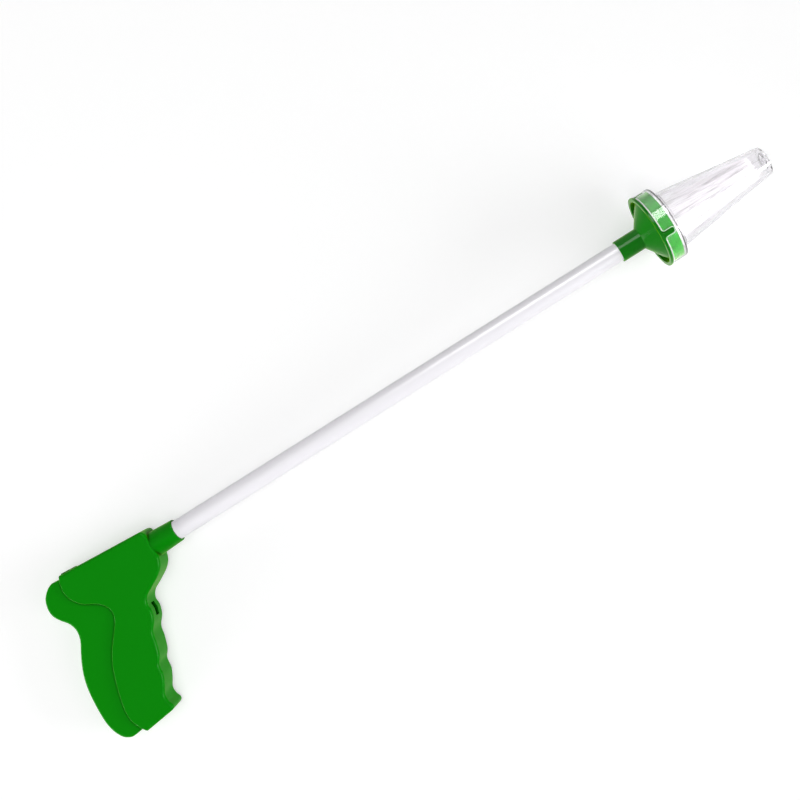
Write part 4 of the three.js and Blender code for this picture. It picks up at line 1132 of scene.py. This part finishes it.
def pale_floor():
    """Matt white board. Where it is seen it adds its own white to the light that falls on it, so that it
    looks as white as the photograph's while the object's shadow still darkens it."""
    material, tree, shader = new_material("matt white board")
    places = add_node(tree, "ShaderNodeTexCoord", {}).outputs["Object"]
    away = add_node(tree, "ShaderNodeVectorMath", {0: places}, operation="LENGTH")
    lift = add_node(
        tree, "ShaderNodeMapRange",
        {
            "Value": away.outputs["Value"], "From Min": FLOOR_LIFT_REACH, "From Max": 2 * FLOOR_LIFT_REACH,
            "To Min": FLOOR_LIFT, "To Max": 1.0,
        },
    )
    shown = add_node(
        tree, "ShaderNodeMath", {0: seen_directly(tree), 1: lift.outputs["Result"]}, operation="MULTIPLY"
    )
    plug(
        tree, shader,
        {
            "Base Color": linear("#cccccc"), "Roughness": 0.9, "Specular IOR Level": 0.0,
            "Emission Color": linear("#ffffff"), "Emission Strength": shown.outputs[0],
        },
    )
    return material


board = bmesh.new()
bmesh.ops.create_grid(board, x_segments=2, y_segments=2, size=FLOOR_SIZE / 2)
board.transform(Matrix.Translation(BEAD_FOOT) @ Matrix.Rotation(FLOOR_TILT, 4, "Y"))
floor = as_object(board, "floor")
floor.data.materials.append(pale_floor())


# Light

# The white surroundings' strength as a lamp. Where they are seen it is 1, plain white.
SURROUND_LIGHT = 0.14


def soft_studio():
    """White wherever it is seen, straight on, mirrored or through clear plastic, and dim as a lamp."""
    world = bpy.data.worlds.new("soft studio")
    world.use_nodes = True
    tree = world.node_tree
    strength = add_node(
        tree, "ShaderNodeMapRange", {"Value": seen_directly(tree), "To Min": SURROUND_LIGHT, "To Max": 1.0}
    )
    plug(
        tree, tree.nodes["Background"],
        {"Color": linear("#ffffff"), "Strength": strength.outputs["Result"]},
    )
    return world


bpy.context.scene.world = soft_studio()


def softbox(name, place, target, width, height, radiance, lights=True, mirrored=True):
    """A large soft lamp that the camera doesn't see. It lights the object, shows in its gloss, or both."""
    lamp = bpy.data.lights.new(name, "AREA")
    lamp.shape = "RECTANGLE"
    lamp.size = width
    lamp.size_y = height
    lamp.energy = radiance * math.pi * width * height
    stand = bpy.data.objects.new(name, lamp)
    stand.location = place
    stand.rotation_euler = (Vector(target) - Vector(place)).to_track_quat("-Z", "Y").to_euler()
    stand.visible_camera = False
    stand.visible_diffuse = lights
    stand.visible_transmission = lights
    stand.visible_glossy = mirrored
    bpy.context.scene.collection.objects.link(stand)


# "Filtered" lamps light the object but aren't mirrored in it, like lamps behind a polarising filter.
# Lamps with lights=False show only as highlights, on the tube, the neck and the cap's skirt.
softbox("strip over the head", (0.3, 0.8, 1.27), (0.3, 0.04, 0), 0.8, 0.7, 12.0, lights=False)
softbox("pale wall behind the tube", (0.1, 1.5, 0.55), (0.1, 0, 0.05), 1.8, 1.0, 0.7)
softbox("card at the grip end", (-1.6, -0.2, 0.2), (-0.3, -0.03, 0.04), 1.4, 0.3, 16.0)
softbox("filtered lamp overhead", (-0.35, 0.0, 1.7), (-0.25, 0, 0), 1.4, 0.8, 3.9, mirrored=False)
softbox(
    "filtered lamp at the finger side", (0.9, -0.95, 1.15), (-0.2, 0, 0), 0.8, 0.8, 2.3, mirrored=False
)
softbox("bare lamp at the finger side", (1.1, -0.95, 1.15), (-0.3, 0, 0), 0.4, 0.4, 90.0, lights=False)
softbox(
    "filtered reflector at the finger side", (2.4, -1.5, 0.7), (-0.3, -0.05, 0.02), 1.6, 0.8, 13.0,
    mirrored=False,
)


# Camera: straight above the object, turned as the photograph is, and shifted only to frame it as there

camera = bpy.data.cameras.new("camera")
camera.lens = 43.0
camera.sensor_width = 36.0
camera.shift_x = -0.116
camera.shift_y = -0.0728
camera.clip_start = 0.01
viewpoint = bpy.data.objects.new("camera", camera)
viewpoint.location = (0.0781, 0.03745, 0.7808)
viewpoint.rotation_euler = (0, 0, math.radians(-32.2))
bpy.context.scene.collection.objects.link(viewpoint)
bpy.context.scene.camera = viewpoint
bpy.context.scene.view_settings.view_transform = "Standard"
